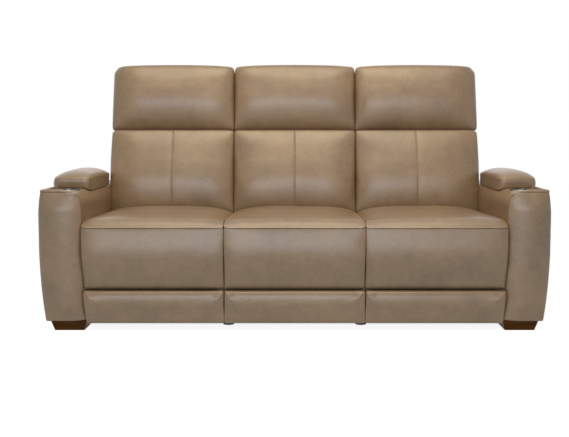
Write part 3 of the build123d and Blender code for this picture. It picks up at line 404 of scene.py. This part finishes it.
def head_form(seed, depth, free):
    size = (-SIDE, SIDE, *HEAD_SPAN, -depth, -FACE_DEPTH)
    form = soft_form(
        size, corner=(0.008, 0.008 + 0.034 * free, 0.007, 0.036), edge=(0.140, 0.140, 0.190, 0.075),
        depth=(0.042, 0.042, 0.056, 0.029), layers=8, onset=2.2,
    )
    local = form["local"]
    across, upward = shares(local, size)
    flare, crown, belly, forward = 0.008, 0.007, 0.013, 0.030
    local[:, X] += free * flare * (1 - upward) * np.clip(across, 0, 1) ** 3
    local[:, H] += crown * (1 - across**2) * np.clip(upward, 0, 1) ** 3
    local[:, F] += form["facing"] * belly * hump(upward, 0.36, 0.36) * (1 - 0.3 * across**2)
    local[:, F] += forward * upward * np.clip((local[:, F] + depth) / depth, 0, 1)
    return undulate(form, seed, 0.0026)


LID_REAR = 0.198
LID_SKIRT = 0.036


def lid_form(seed):
    """Padded lid, whose inner side hangs down over the arm's rounded edge."""
    outward, lowered, sunk = 0.003, 0.0017, 0.010
    size = (LID_LOW.x, LID_HIGH.x + outward, LID_LOW.y, LID_REAR, LID_LOW.z - lowered, LID_HIGH.z - sunk)
    form = soft_form(
        size, corner=(0.028, 0.028, 0.028, (0.008, 0.024)), edge=(0.068, 0.068, 0.100, 0.110),
        depth=(0.026, 0.026, 0.029, 0.026), layers=7, step=0.011, rear_edge=0.0006, onset=2.2,
    )
    local = form["local"]
    inward = np.clip(ARM_INNER + ARM_ROUND - local[:, X], 0, ARM_ROUND)
    fall = 0.66 * (ARM_ROUND - np.sqrt(ARM_ROUND**2 - inward**2))
    local[:, F] -= fall * np.clip(1 - (local[:, F] - size[4]) / LID_SKIRT, 0, 1)
    across, along = shares(local, size)
    level = (local[:, F] - size[4]) / (size[5] - size[4])
    side_bulge, front_bulge, rear_bulge, crown = 0.009, 0.007, 0.006, 0.008
    local[:, X] += side_bulge * np.clip(across, 0, 1) ** 4 * hump(level, 0.25, 0.35)
    local[:, H] -= front_bulge * np.clip(1 - 8 * along, 0, 1) * hump(level, 0.40, 0.40)
    local[:, H] += rear_bulge * np.clip(8 * along - 7, 0, 1) * np.clip((level - 0.2) / 0.2, 0, 1)
    local[:, F] += crown * (1 - across**2) * (1 - (2 * along - 1) ** 2) * (form["facing"] > 0)
    return undulate(form, seed, 0.0012, 6.0)


# Outline of the arm's outer face, and the flare of its inner face at the bottom
ARM_HEIGHTS = (0.040, 0.110, 0.185, 0.260, 0.330, 0.450, 0.500, 0.550, 0.586)
ARM_OUTSIDE = (1.049, 1.058, 1.065, 1.069, 1.071, 1.070, 1.0685, 1.0635, 1.0575)
ARM_FLARE = 0.013
ARM_FLARE_TOP = 0.165


def arm_form(seed):
    sunk, belly = 0.008, 0.020
    size = (ARM_INNER, ARM_OUTER, ARM_LOW.z, ARM_HIGH.z, -ARM_HIGH.y, -FRONT_Y - sunk)
    form = soft_form(
        size, corner=(ARM_ROUND, 0.005, 0.006, (ARM_ROUND, 0.005)), edge=(0.075, 0.060, 0.014, 0.012),
        depth=(0.012, 0.009, 0.006, 0.005), layers=44, step=0.012, rear_edge=0.010, onset=2.2,
    )
    local = form["local"]
    share = (local[:, X] - ARM_INNER) / (ARM_OUTER - ARM_INNER)
    outside = np.interp(local[:, H], ARM_HEIGHTS, ARM_OUTSIDE)
    inside = np.interp(local[:, H], (ARM_LOW.z, ARM_FLARE_TOP), (ARM_INNER - ARM_FLARE, ARM_INNER))
    local[:, X] = inside + share * (outside - inside)
    across, upward = shares(local, size)
    local[:, F] += (form["facing"] > 0) * belly * (1 - across**2) * np.clip(upward * (1 - upward) * 9, 0, 1)
    return undulate(form, seed, 0.0014, 4.0)


def cover_form(seed):
    wider, closer, crown = 0.005, 0.0015, 0.005
    size = (COVER_LOW.x - wider, COVER_HIGH.x + wider, *SHELL_SPAN, BACK_DEPTH - closer, SHELL_REAR)
    form = soft_form(
        size, corner=(0.010, 0.010, 0.010, 0.016), edge=(0.050, 0.050, 0.050, 0.050),
        depth=(0.018, 0.018, 0.018, 0.018), layers=5, step=0.016,
    )
    across, _ = shares(form["local"], size)
    form["local"][:, F] += form["facing"] * crown * (1 - across**2)
    return undulate(form, seed, 0.0016, 4.0)


SOFT = []
KICK_TAPER = 0.013


def add_soft(name, place, form, body, node, flip, cap, fill):
    """Keeps a padded piece for the cloth step. cap is how far its face may swell."""
    obj = make_mesh(name, to_world(place, form["local"]), form["quads"], flip)
    obj.data.materials.append(HIDE)
    SOFT.append({
        "obj": obj, "place": place, "flip": flip, "body": body, "node": node, "fill": fill,
        "facing": form["facing"], "loop": form["loop"], "ridge": form["ridge"], "counts": form["counts"],
        "cap": None if cap is None else cap * form["facing"],
    })


def build_soft():
    for side, flip, seed in (("middle", False, 1), ("right", False, 10), ("left", True, 30)):
        end = side != "middle"
        x, taper, depth = (BAY_X, KICK_TAPER, HEAD_DEPTH) if end else (0.0, 0.0, BACK_DEPTH)
        legrest, back, headrest = (f"{side}_{name}" if end else "base" for name in ("legrest", "back", "headrest"))
        pieces = [
            ("seat", top_plane(x), seat_form(seed), "base", "seat_cushion", 0.010, CUSHION_FILL),
            ("front", front_plane(x), pad_form(seed + 1), legrest, "upper_pad", 0.006, CUSHION_FILL),
            ("kick", front_plane(x), kick_form(seed + 2, taper), legrest, "lower_pad", 0.005, CUSHION_FILL),
            ("back", back_plane(x), back_form(seed + 3, int(end)), back, "back_cushion", 0.012, CUSHION_FILL),
            (
                "headrest", back_plane(x), head_form(seed + 4, depth, int(end)), headrest, "headrest_cushion",
                0.010, CUSHION_FILL,
            ),
            ("outback", rear_plane(x), cover_form(seed + 5), back, "back_cover", None, COVER_FILL),
        ]
        if end:
            pieces += [
                ("lid", top_plane(0.0), lid_form(seed + 6), f"{side}_lid", "arm_lid", 0.005, CUSHION_FILL),
                ("arm", front_plane(0.0), arm_form(seed + 7), "base", "arm_cover", None, COVER_FILL),
            ]
        for name, place, form, body, node, cap, fill in pieces:
            add_soft(f"{name}_{side}", place, form, body, f"{side}_{node}", flip, cap, fill)


# Cloth: the faces swell under pressure while sides and back hold still

def start_cloth(piece):
    obj = piece["obj"]
    group = obj.vertex_groups.new(name="hold")
    for i, facing in enumerate(piece["facing"]):
        group.add([i], float(np.clip(1 - facing, 0, 1)), "REPLACE")
    cloth = obj.modifiers.new("Cloth", "CLOTH")
    cloth.settings.quality = 4
    cloth.settings.mass = 0.3
    cloth.settings.tension_stiffness = 20
    cloth.settings.compression_stiffness = 20
    cloth.settings.shear_stiffness = 8
    cloth.settings.bending_stiffness = 1.5
    cloth.settings.use_pressure = True
    cloth.settings.uniform_pressure_force = CLOTH_PRESSURE
    cloth.settings.vertex_group_mass = "hold"
    cloth.settings.effector_weights.gravity = 0
    cloth.collision_settings.use_collision = False
    cloth.point_cache.frame_start = 1
    cloth.point_cache.frame_end = CLOTH_FRAMES


def evaluated(obj):
    return obj.evaluated_get(bpy.context.evaluated_depsgraph_get())


def end_cloth(piece):
    obj = piece["obj"]
    rest = points_of(obj.data)
    swollen = points_of(evaluated(obj).data)
    move = swollen - rest
    length = np.maximum(np.linalg.norm(move, axis=1), TINY)
    move *= (piece["cap"] / (piece["cap"] + length + TINY))[:, None]
    piece["swollen"] = rest + move


def swell_all():
    padded = [p for p in SOFT if p["cap"] is not None]
    for piece in padded:
        start_cloth(piece)
    SCENE.frame_start, SCENE.frame_end = 1, CLOTH_FRAMES
    for step in range(1, CLOTH_FRAMES + 1):
        SCENE.frame_set(step)
    for piece in padded:
        end_cloth(piece)
    for piece in padded:
        piece["obj"].modifiers.clear()
        piece["obj"].vertex_groups.clear()
        set_points(piece["obj"].data, piece["swollen"])
    SCENE.frame_set(1)


def bake_modifiers(obj):
    """Turns the object with its modifiers into a plain mesh."""
    made = bpy.data.meshes.new_from_object(evaluated(obj))
    made.name = obj.name
    obj.modifiers.clear()
    obj.data = made


def subdivide(obj):
    smooth = obj.modifiers.new("Smooth", "SUBSURF")
    smooth.levels = smooth.render_levels = 1
    bake_modifiers(obj)


def groove(piece, depth, width):
    """Sewn seam down the middle of a piece's face, with a wider dip round it."""
    mesh, place, mirror = piece["obj"].data, piece["place"], mirror_of(piece)
    local = to_local(place, points_of(mesh) * mirror)
    facing = np.clip(((normals_of(mesh) * mirror) @ place["axes"][F]) * 2, 0, 1)
    gap = local[:, X]
    sink = depth * np.exp(-((gap / width) ** 2)) + 0.5 * depth * np.exp(-((gap / (5 * width)) ** 2))
    local[:, F] -= sink * facing
    set_points(mesh, to_world(place, local) * mirror)


# Curvature and blurring for the pale worn edges and for the painted shade in hollows
WEAR_AND_SHADE_CURVATURE = 30
WEAR_AND_SHADE_BLURS = 2


def add_wear_and_hollow_shade(obj):
    """Point attributes for the leather: raised edges wear pale, and hollows, where the surface curves in, hold
    painted shade.
    """
    mesh = obj.data
    points = points_of(mesh)
    edges = np.zeros(len(mesh.edges) * 2, int)
    mesh.edges.foreach_get("vertices", edges)
    a, b = edges.reshape(-1, 2).T
    total = np.zeros_like(points)
    count = np.zeros(len(points))
    np.add.at(total, a, points[b])
    np.add.at(total, b, points[a])
    np.add.at(count, a, 1)
    np.add.at(count, b, 1)
    bend = ((total / np.maximum(count, 1)[:, None] - points) * normals_of(mesh)).sum(1)
    length = np.linalg.norm(points[a] - points[b], axis=1).mean()
    curve = -bend / length**2 / WEAR_AND_SHADE_CURVATURE
    # The hollow attribute is painted shade: the more the surface curves in, the darker the leather is coloured
    for name, values in (("wear", np.clip(curve, 0, 1)), ("hollow", np.clip(-curve, 0, 1))):
        for _ in range(WEAR_AND_SHADE_BLURS):
            spread = np.zeros(len(points))
            np.add.at(spread, a, values[b])
            np.add.at(spread, b, values[a])
            values = 0.5 * values + 0.5 * spread / np.maximum(count, 1)
        attribute = mesh.attributes.new(name, "FLOAT", "POINT")
        attribute.data.foreach_set("value", values.astype(np.float32))


# Materials

def material(name):
    made = bpy.data.materials.new(name)
    made.use_nodes = True
    return made, made.node_tree.nodes, made.node_tree.links


def set_inputs(node, values):
    for name, value in values.items():
        node.inputs[name].default_value = value


def feed(links, socket, value):
    """Links a socket to another, or sets its value."""
    if isinstance(value, bpy.types.NodeSocket):
        links.new(value, socket)
    else:
        socket.default_value = value


def object_coords(nodes):
    return nodes.new("ShaderNodeTexCoord").outputs["Object"]


def scaled_coords(nodes, links, scale):
    node = nodes.new("ShaderNodeMapping")
    node.inputs["Scale"].default_value = scale
    links.new(object_coords(nodes), node.inputs["Vector"])
    return node.outputs["Vector"]


def noise_node(nodes, links, coords, scale, detail=3.0, roughness=0.55):
    node = nodes.new("ShaderNodeTexNoise")
    set_inputs(node, {"Scale": scale, "Detail": detail, "Roughness": roughness})
    links.new(coords, node.inputs["Vector"])
    return node.outputs["Fac"]


def ramp_node(nodes, links, value, stops):
    node = nodes.new("ShaderNodeValToRGB")
    while len(node.color_ramp.elements) < len(stops):
        node.color_ramp.elements.new(0.5)
    for element, (place, color) in zip(node.color_ramp.elements, stops):
        element.position = place
        element.color = (*color, 1.0)
    links.new(value, node.inputs["Fac"])
    return node.outputs["Color"]


def mix_node(nodes, links, share, first, second):
    node = nodes.new("ShaderNodeMix")
    node.data_type = "RGBA"
    share_socket, first_socket, second_socket = 0, 6, 7
    feed(links, node.inputs[share_socket], share)
    feed(links, node.inputs[first_socket], first)
    feed(links, node.inputs[second_socket], second)
    return node.outputs[2]


def math_node(nodes, links, operation, first, second):
    node = nodes.new("ShaderNodeMath")
    node.operation = operation
    feed(links, node.inputs[0], first)
    feed(links, node.inputs[1], second)
    return node.outputs[0]


def bump_node(nodes, links, height, strength, distance, below=None):
    node = nodes.new("ShaderNodeBump")
    set_inputs(node, {"Strength": strength, "Distance": distance})
    links.new(height, node.inputs["Height"])
    if below is not None:
        links.new(below, node.inputs["Normal"])
    return node.outputs["Normal"]


def attribute_value(nodes, name):
    node = nodes.new("ShaderNodeAttribute")
    node.attribute_name = name
    return node.outputs["Fac"]


def gray(value):
    return (value, value, value)


def leather(name, dark, middle, light):
    """Semi-gloss leather: cloudy colour, pebbled grain, fine creases, pale worn edges, and painted shade that
    darkens hollows and seams.
    """
    made, nodes, links = material(name)
    coords = object_coords(nodes)
    shader = nodes["Principled BSDF"]

    def times(value, factor):
        return math_node(nodes, links, "MULTIPLY", value, factor)

    cloud = noise_node(nodes, links, coords, 5.5, 4.0, 0.6)
    blotch = noise_node(nodes, links, coords, 24.0, 3.0, 0.6)
    both = math_node(nodes, links, "ADD", times(cloud, 0.6), times(blotch, 0.4))
    color = ramp_node(nodes, links, both, ((0.345, dark), (0.50, middle), (0.655, light)))
    fleck = noise_node(nodes, links, coords, 110.0)
    flecks = ramp_node(nodes, links, fleck, ((0.35, dark), (0.65, light)))
    color = mix_node(nodes, links, 0.22, color, flecks)
    color = mix_node(nodes, links, times(attribute_value(nodes, "wear"), 0.45), color, (*light, 1.0))
    # Painted shade: hollows are mixed toward a much darker brown, where shade would fall
    hollow_shade_color = (*(0.35 * v for v in dark), 1.0)
    color = mix_node(nodes, links, times(attribute_value(nodes, "hollow"), 0.6), color, hollow_shade_color)
    links.new(color, shader.inputs["Base Color"])

    pebble = nodes.new("ShaderNodeTexVoronoi")
    pebble.feature = "SMOOTH_F1"
    pebble.inputs["Scale"].default_value = 520.0
    links.new(coords, pebble.inputs["Vector"])
    crease = noise_node(nodes, links, scaled_coords(nodes, links, (26.0, 26.0, 60.0)), 1.0, 5.0, 0.65)
    creased = bump_node(nodes, links, crease, 0.10, 0.004)
    grain = bump_node(nodes, links, pebble.outputs["Distance"], 0.16, 0.0006, creased)
    links.new(grain, shader.inputs["Normal"])
    shine = ramp_node(nodes, links, blotch, ((0.3, gray(0.34)), (0.7, gray(0.44))))
    links.new(shine, shader.inputs["Roughness"])
    set_inputs(shader, {"Specular IOR Level": 0.5, "Coat Weight": 0.70, "Coat Roughness": 0.33})
    return made


def wood(name, dark, light):
    """Stained or raw wood with long grain."""
    made, nodes, links = material(name)
    shader = nodes["Principled BSDF"]
    grain = noise_node(nodes, links, scaled_coords(nodes, links, (4.0, 60.0, 60.0)), 1.0, 6.0, 0.6)
    color = ramp_node(nodes, links, grain, ((0.30, dark), (0.70, light)))
    links.new(color, shader.inputs["Base Color"])
    links.new(bump_node(nodes, links, grain, 0.15, 0.0005), shader.inputs["Normal"])
    set_inputs(shader, {"Roughness": 0.55, "Specular IOR Level": 0.12})
    return made


def brushed_steel(name):
    made, nodes, links = material(name)
    shader = nodes["Principled BSDF"]
    lines = noise_node(nodes, links, scaled_coords(nodes, links, (30.0, 30.0, 900.0)), 1.0, 4.0)
    color = ramp_node(nodes, links, lines, ((0.3, (0.24, 0.23, 0.22)), (0.7, (0.40, 0.39, 0.37))))
    shine = ramp_node(nodes, links, lines, ((0.3, gray(0.16)), (0.7, gray(0.28))))
    links.new(color, shader.inputs["Base Color"])
    links.new(shine, shader.inputs["Roughness"])
    shader.inputs["Metallic"].default_value = 1.0
    return made


def speckled(name, color, roughness, scale):
    """Painted metal, moulded plastic or thread: fine texture and slight colour drift."""
    made, nodes, links = material(name)
    coords = object_coords(nodes)
    shader = nodes["Principled BSDF"]
    drift = noise_node(nodes, links, coords, 9.0)
    pale = tuple(min(1.0, 1.5 * v + 0.004) for v in color)
    links.new(ramp_node(nodes, links, drift, ((0.3, color), (0.75, pale))), shader.inputs["Base Color"])
    texture = noise_node(nodes, links, coords, scale)
    links.new(bump_node(nodes, links, texture, 0.08, 0.0004), shader.inputs["Normal"])
    set_inputs(shader, {"Roughness": roughness, "Specular IOR Level": 0.25})
    return made


def woven(name, color):
    """Thin dust cloth: two crossed sets of threads."""
    made, nodes, links = material(name)
    shader = nodes["Principled BSDF"]
    heights = []
    for axis in ("X", "Z"):
        wave = nodes.new("ShaderNodeTexWave")
        wave.bands_direction = axis
        wave.inputs["Scale"].default_value = 160.0
        links.new(object_coords(nodes), wave.inputs["Vector"])
        heights.append(wave.outputs["Fac"])
    weave = math_node(nodes, links, "MULTIPLY", *heights)
    pale = tuple(2.2 * v for v in color)
    links.new(ramp_node(nodes, links, weave, ((0.0, color), (1.0, pale))), shader.inputs["Base Color"])
    links.new(bump_node(nodes, links, weave, 0.4, 0.0006), shader.inputs["Normal"])
    shader.inputs["Roughness"].default_value = 0.9
    return made


HIDE = leather("hide", dark=(0.180, 0.113, 0.060), middle=(0.256, 0.165, 0.089), light=(0.324, 0.213, 0.117))
# The second leather is a near-black brown for the arm's welt: painted shadow, so the cord reads as the dark shadow
# line of the seam
SEAM_SHADOW = leather("seam_hide", dark=(0.060, 0.036, 0.020), middle=(0.075, 0.046, 0.026), light=(0.095, 0.060, 0.034))
THREAD = speckled("thread", (0.150, 0.098, 0.058), 0.7, 900.0)
LINING = woven("lining", (0.020, 0.018, 0.016))

NODE_LOOKS = {
    "foot_wood": wood("foot_stain", (0.030, 0.0085, 0.0004), (0.120, 0.042, 0.0025)),
    "frame_wood": wood("plywood", (0.36, 0.24, 0.13), (0.58, 0.43, 0.27)),
    "mechanism_steel": speckled("mechanism_paint", (0.028, 0.028, 0.030), 0.40, 700.0),
    "cup_steel": brushed_steel("cup_brushed"),
    "black_plastic": speckled("moulded_black", (0.014, 0.014, 0.015), 0.48, 1200.0),
    "rocker_plastic": speckled("rocker_black", (0.020, 0.020, 0.022), 0.25, 300.0),
    "dust_cloth": woven("dust_cloth", (0.016, 0.016, 0.017)),
}


def dress_nodes():
    slots = {entry["node"]: entry["material_slot"] for entry in frame["record"]["subparts"]}
    for name, obj in frame["nodes"].items():
        obj.data.materials.clear()
        obj.data.materials.append(NODE_LOOKS.get(slots[name], HIDE))


# Holes in the arm for the cup, the bin and the switch plate

CUP_INSET = 0.0375
CUP_HOLE_RADIUS = 0.0478
CUP_HOLE_SIDES = 64
CUP_UNDER = 0.002
BIN_X = (0.9285, 1.0215)
BIN_Y = (-0.1945, 0.1775)
BIN_FLOOR = 0.4405
PLATE_SUNK = 0.018
PLATE_GAP = 0.0005
ABOVE_ARM = 0.03
BESIDE_ARM = 0.02
CUTTERS = []


def prism(outline, low, high, flip):
    """Upright block over a plan outline."""
    count = len(outline)
    points = [(x, y, low) for x, y in outline] + [(x, y, high) for x, y in outline]
    quads = [(i, (i + 1) % count, count + (i + 1) % count, count + i) for i in range(count)]
    quads += [tuple(range(count))[::-1], tuple(range(count, 2 * count))]
    obj = make_mesh("cutter", np.array(points), quads, flip)
    obj.data.materials.append(LINING)
    CUTTERS.append(obj)
    return obj


def circle(middle, radius, count):
    angles = [math.tau * i / count for i in range(count)]
    return [(middle.x + radius * math.cos(a), middle.y + radius * math.sin(a)) for a in angles]


def rectangle(x0, x1, y0, y1):
    return [(x0, y0), (x1, y0), (x1, y1), (x0, y1)]


def cut_arm(piece):
    flip = piece["flip"]
    top = ARM_HIGH.z + ABOVE_ARM
    cup = Vector(((CUP_HIGH.x + ARM_INNER + CUP_INSET) / 2, (CUP_LOW.y + CUP_HIGH.y) / 2))
    plate = rectangle(
        PLATE_HIGH.x - PLATE_SUNK, ARM_OUTER + BESIDE_ARM, PLATE_LOW.y - PLATE_GAP, PLATE_HIGH.y + PLATE_GAP,
    )
    tools = (
        prism(circle(cup, CUP_HOLE_RADIUS, CUP_HOLE_SIDES), CUP_LOW.z - CUP_UNDER, top, flip),
        prism(rectangle(*BIN_X, *BIN_Y), BIN_FLOOR, top, flip),
        prism(plate, PLATE_LOW.z - PLATE_GAP, PLATE_HIGH.z + PLATE_GAP, flip),
    )
    for tool in tools:
        cut = piece["obj"].modifiers.new("Cut", "BOOLEAN")
        cut.object = tool
        cut.solver = "EXACT"
        cut.material_mode = "TRANSFER"
    bake_modifiers(piece["obj"])


# Stitches along seams, placed by a node tree

STITCH_SIZES = {"Pitch": 0.0075, "Length": 0.0050, "Thickness": 0.0011}
STITCH_PROUD = 0.0002
SEAT_ROW_X = SEAT_HIGH.x - 0.03
SEAT_ROW_Y = FRONT_Y + 0.004

# Rows from a local (x, h) to another, by kind of piece
STITCHED = {
    "back": (0.006, 0.02, 0.006, 0.35),
    "seat": (-SEAT_ROW_X, SEAT_ROW_Y, SEAT_ROW_X, SEAT_ROW_Y),
    "outback": (-0.25, 0.60, 0.25, 0.60),
}


def stitch_tree():
    tree = bpy.data.node_groups.new("Stitches", "GeometryNodeTree")
    face = tree.interface
    face.new_socket("Geometry", in_out="INPUT", socket_type="NodeSocketGeometry")
    for label, value in STITCH_SIZES.items():
        face.new_socket(label, in_out="INPUT", socket_type="NodeSocketFloat").default_value = value
    face.new_socket("Thread", in_out="INPUT", socket_type="NodeSocketMaterial")
    face.new_socket("Geometry", in_out="OUTPUT", socket_type="NodeSocketGeometry")
    nodes, links = tree.nodes, tree.links
    given, result = nodes.new("NodeGroupInput"), nodes.new("NodeGroupOutput")
    curve = nodes.new("GeometryNodeMeshToCurve")
    links.new(given.outputs["Geometry"], curve.inputs["Mesh"])
    resample = nodes.new("GeometryNodeResampleCurve")
    resample.mode = "LENGTH"
    links.new(curve.outputs["Curve"], resample.inputs["Curve"])
    links.new(given.outputs["Pitch"], resample.inputs["Length"])
    ball = nodes.new("GeometryNodeMeshUVSphere")
    set_inputs(ball, {"Segments": 8, "Rings": 6, "Radius": 0.5})
    size = nodes.new("ShaderNodeCombineXYZ")
    links.new(given.outputs["Length"], size.inputs["X"])
    links.new(given.outputs["Thickness"], size.inputs["Y"])
    links.new(given.outputs["Thickness"], size.inputs["Z"])
    tangent = nodes.new("GeometryNodeInputTangent")
    align = nodes.new("FunctionNodeAlignRotationToVector")
    align.axis = "X"
    links.new(tangent.outputs["Tangent"], align.inputs["Vector"])
    place = nodes.new("GeometryNodeInstanceOnPoints")
    links.new(resample.outputs["Curve"], place.inputs["Points"])
    links.new(ball.outputs["Mesh"], place.inputs["Instance"])
    links.new(align.outputs["Rotation"], place.inputs["Rotation"])
    links.new(size.outputs["Vector"], place.inputs["Scale"])
    real = nodes.new("GeometryNodeRealizeInstances")
    links.new(place.outputs["Instances"], real.inputs["Geometry"])
    paint = nodes.new("GeometryNodeSetMaterial")
    links.new(real.outputs["Geometry"], paint.inputs["Geometry"])
    links.new(given.outputs["Thread"], paint.inputs["Material"])
    links.new(paint.outputs["Geometry"], result.inputs["Geometry"])
    return tree


STITCHES = stitch_tree()
ROWS = {}


def straight(x0, h0, x1, h1, count=60):
    return [(x0 + (x1 - x0) * i / count, h0 + (h1 - h0) * i / count) for i in range(count + 1)]


def on_face(piece, path):
    """Points of a local (x, h) path laid on the piece's face, just proud of it."""
    obj, place, mirror = piece["obj"], piece["place"], mirror_of(piece)
    direction = -place["axes"][F] * mirror
    laid = []
    for x, h in path:
        start = to_world(place, np.array((x, h, 1.0))) * mirror
        hit, point, normal, _ = obj.ray_cast(Vector(start), Vector(direction))
        if hit:
            laid.append(point + normal * STITCH_PROUD)
    return laid


def add_row(piece, path):
    ROWS.setdefault(piece["body"], []).append(on_face(piece, path))


def sew(body, rows):
    """One mesh of stitches for each body."""
    points, edges = [], []
    for row in rows:
        edges += [(len(points) + i, len(points) + i + 1) for i in range(len(row) - 1)]
        points += [tuple(p) for p in row]
    mesh = bpy.data.meshes.new("stitches_" + body)
    mesh.from_pydata(points, edges, [])
    obj = link_object("stitches_" + body, mesh)
    modifier = obj.modifiers.new("Stitches", "NODES")
    modifier.node_group = STITCHES
    for item in STITCHES.interface.items_tree:
        if item.name == "Thread" and item.in_out == "INPUT":
            modifier[item.identifier] = THREAD
    bake_modifiers(obj)
    smooth_faces(obj.data)
    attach(obj, body)


# Welts and rolled edges

WELTS = {"lid": 0.0010, "outback": 0.0020}
ARM_WELT = 0.0019
ARM_WELT_THIN = 0.25
ARM_WELT_FADE = (0.44, 0.08)
LIP_RADIUS = 0.0078
LIP_INSET = 0.0026
LIP_LID_GAP = 0.006
LIP_LID_FADE = 0.008
LIP_THIN = 0.35
LIP_SUNK = 0.0025
LIP_RISE = 0.0065
LIP_END = 0.030
LIP_END_FADE = 0.05
LIP_FRONT_RISE = 0.0040


def cord(name, body, path, radius, closed, look=HIDE, tapers=None):
    """Round welt sewn along a seam. tapers holds a share of the radius for each point."""
    data = bpy.data.curves.new(name, "CURVE")
    data.dimensions = "3D"
    data.bevel_depth = radius
    data.bevel_resolution = 2
    line = data.splines.new("POLY")
    line.points.add(len(path) - 1)
    for i, place in enumerate(path):
        line.points[i].co = (*place, 1.0)
        line.points[i].radius = tapers[i] if tapers else 1.0
    line.use_cyclic_u = closed
    source = link_object(name + "_line", data)
    mesh = bpy.data.meshes.new_from_object(evaluated(source))
    bpy.data.objects.remove(source)
    obj = link_object(name, mesh)
    mesh.name = name
    mesh.materials.clear()
    mesh.materials.append(look)
    smooth_faces(mesh)
    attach(obj, body)


def line_of(piece, kind):
    points = points_of(piece["obj"].data)
    return [tuple(points[i]) for i in piece[kind]]


def roll_lip(piece, front):
    """Rolled edge of the arm's top panel: along its outer edge, then round the front until the inner corner.

    Beside and behind the lid it is thin and lies low."""
    path, radii = [], []
    for x, y, z in line_of(piece, "ridge"):
        ahead = np.clip((LID_LOW.y - LIP_LID_GAP - y) / LIP_LID_FADE, 0, 1)
        radii.append(LIP_THIN + (1 - LIP_THIN) * ahead)
        path.append((x - math.copysign(LIP_INSET * ahead, x), y, z - LIP_SUNK + LIP_RISE * ahead))
    for x, y, z in front:
        left = np.clip((abs(x) - ARM_INNER - LIP_END) / LIP_END_FADE, 0, 1)
        if left > 0:
            radii.append(left)
            path.append((x - math.copysign(LIP_INSET, x), y + LIP_INSET, z + LIP_FRONT_RISE * left))
    cord("lip_" + piece["obj"].name, piece["body"], path, LIP_RADIUS, False, HIDE, radii)


def trim_arm(piece):
    """Welt round the arm's front panel, except along its bottom, and the lip above it. The welt is coloured
    near-black brown as a painted shadow line. Both precede the holes.
    """
    loop, (nx, nh) = line_of(piece, "loop"), piece["counts"]
    welt = loop[nx:] + loop[:1]
    start, height = ARM_WELT_FADE
    fade = [ARM_WELT_THIN + (1 - ARM_WELT_THIN) * np.clip((z - start) / height, 0, 1) for _, _, z in welt]
    # The welt's dark colour is painted shadow along the seam
    cord("welt_" + piece["obj"].name, piece["body"], welt, ARM_WELT, False, SEAM_SHADOW, fade)
    roll_lip(piece, loop[nx + nh - 2:2 * nx + nh - 2])
    cut_arm(piece)


def finish_soft():
    for piece in SOFT:
        subdivide(piece["obj"])
        kind = piece["obj"].name.split("_")[0]
        if kind == "back":
            groove(piece, depth=0.0021, width=0.0030)
        if kind in STITCHED:
            add_row(piece, straight(*STITCHED[kind]))
        if kind in WELTS:
            cord("welt_" + piece["obj"].name, piece["body"], line_of(piece, "loop"), WELTS[kind], True)
        if kind == "arm":
            trim_arm(piece)
        add_wear_and_hollow_shade(piece["obj"])
        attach(piece["obj"], piece["body"])
        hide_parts(piece["node"])
    for body, rows in ROWS.items():
        sew(body, rows)
    for tool in CUTTERS:
        bpy.data.objects.remove(tool)


# Camera, floor and light

CAMERA_Y = -4.23
CAMERA_Z = 0.867
CAMERA_PITCH = math.radians(5.93)
LENS = 57.4
SENSOR = 36.0
SHIFT_X = -0.0179
SKY_LIGHT = 0.12
FLOOR_HALF = 9
FLOOR_GRAY = 0.40
FLOOR_GLOW = 0.88
WHITE = (1.0, 1.0, 1.0, 1.0)


def set_camera():
    data = bpy.data.cameras.new("camera")
    data.lens = LENS
    data.sensor_width = SENSOR
    data.shift_x = SHIFT_X
    camera = link_object("camera", data)
    camera.location = (0.0, CAMERA_Y, CAMERA_Z)
    camera.rotation_euler = (math.pi / 2 - CAMERA_PITCH, 0.0, 0.0)
    SCENE.camera = camera


def add_lamp(name, location, target, size, power, color):
    data = bpy.data.lights.new(name, "AREA")
    data.shape = "RECTANGLE"
    data.size, data.size_y = size
    data.energy = power
    data.color = color
    lamp = link_object(name, data)
    lamp.location = location
    lamp.rotation_euler = (Vector(target) - Vector(location)).to_track_quat("-Z", "Y").to_euler()


def seen_share(nodes, links):
    """1 for rays of the camera, reflections and transmission, 0 for those that light the sofa."""
    rays = nodes.new("ShaderNodeLightPath")
    seen = math_node(nodes, links, "MAXIMUM", rays.outputs["Is Camera Ray"], rays.outputs["Is Glossy Ray"])
    return math_node(nodes, links, "MAXIMUM", seen, rays.outputs["Is Transmission Ray"])


def set_world():
    world = bpy.data.worlds.new("studio")
    SCENE.world = world
    world.use_nodes = True
    nodes, links = world.node_tree.nodes, world.node_tree.links
    sky = nodes["Background"]
    sky.inputs["Color"].default_value = WHITE
    strength = math_node(nodes, links, "MAXIMUM", seen_share(nodes, links), SKY_LIGHT)
    links.new(strength, sky.inputs["Strength"])


def add_floor():
    corners = rectangle(-FLOOR_HALF, FLOOR_HALF, -FLOOR_HALF, FLOOR_HALF)
    floor = make_mesh("floor", np.array([(x, y, 0.0) for x, y in corners]), [(0, 1, 2, 3)])
    pale, nodes, links = material("pale_floor")
    shader = nodes["Principled BSDF"]
    set_inputs(shader, {"Base Color": (*gray(FLOOR_GRAY), 1.0), "Roughness": 0.9, "Emission Color": WHITE})
    glow = math_node(nodes, links, "MULTIPLY", seen_share(nodes, links), FLOOR_GLOW)
    links.new(glow, shader.inputs["Emission Strength"])
    floor.data.materials.append(pale)


def set_stage():
    SCENE.view_settings.view_transform = "Standard"
    set_world()
    add_lamp("overhead", (-0.1, -1.10, 3.0), (-0.05, -0.05, 0.5), (2.5, 1.9), 58, (1.0, 0.87, 0.63))
    add_lamp("front", (-0.4, -4.9, 1.30), (0.0, 0.0, 0.5), (3.6, 1.3), 66, (0.79, 0.89, 1.0))
    add_floor()


dress_nodes()
build_soft()
swell_all()
finish_soft()
set_camera()
set_stage()
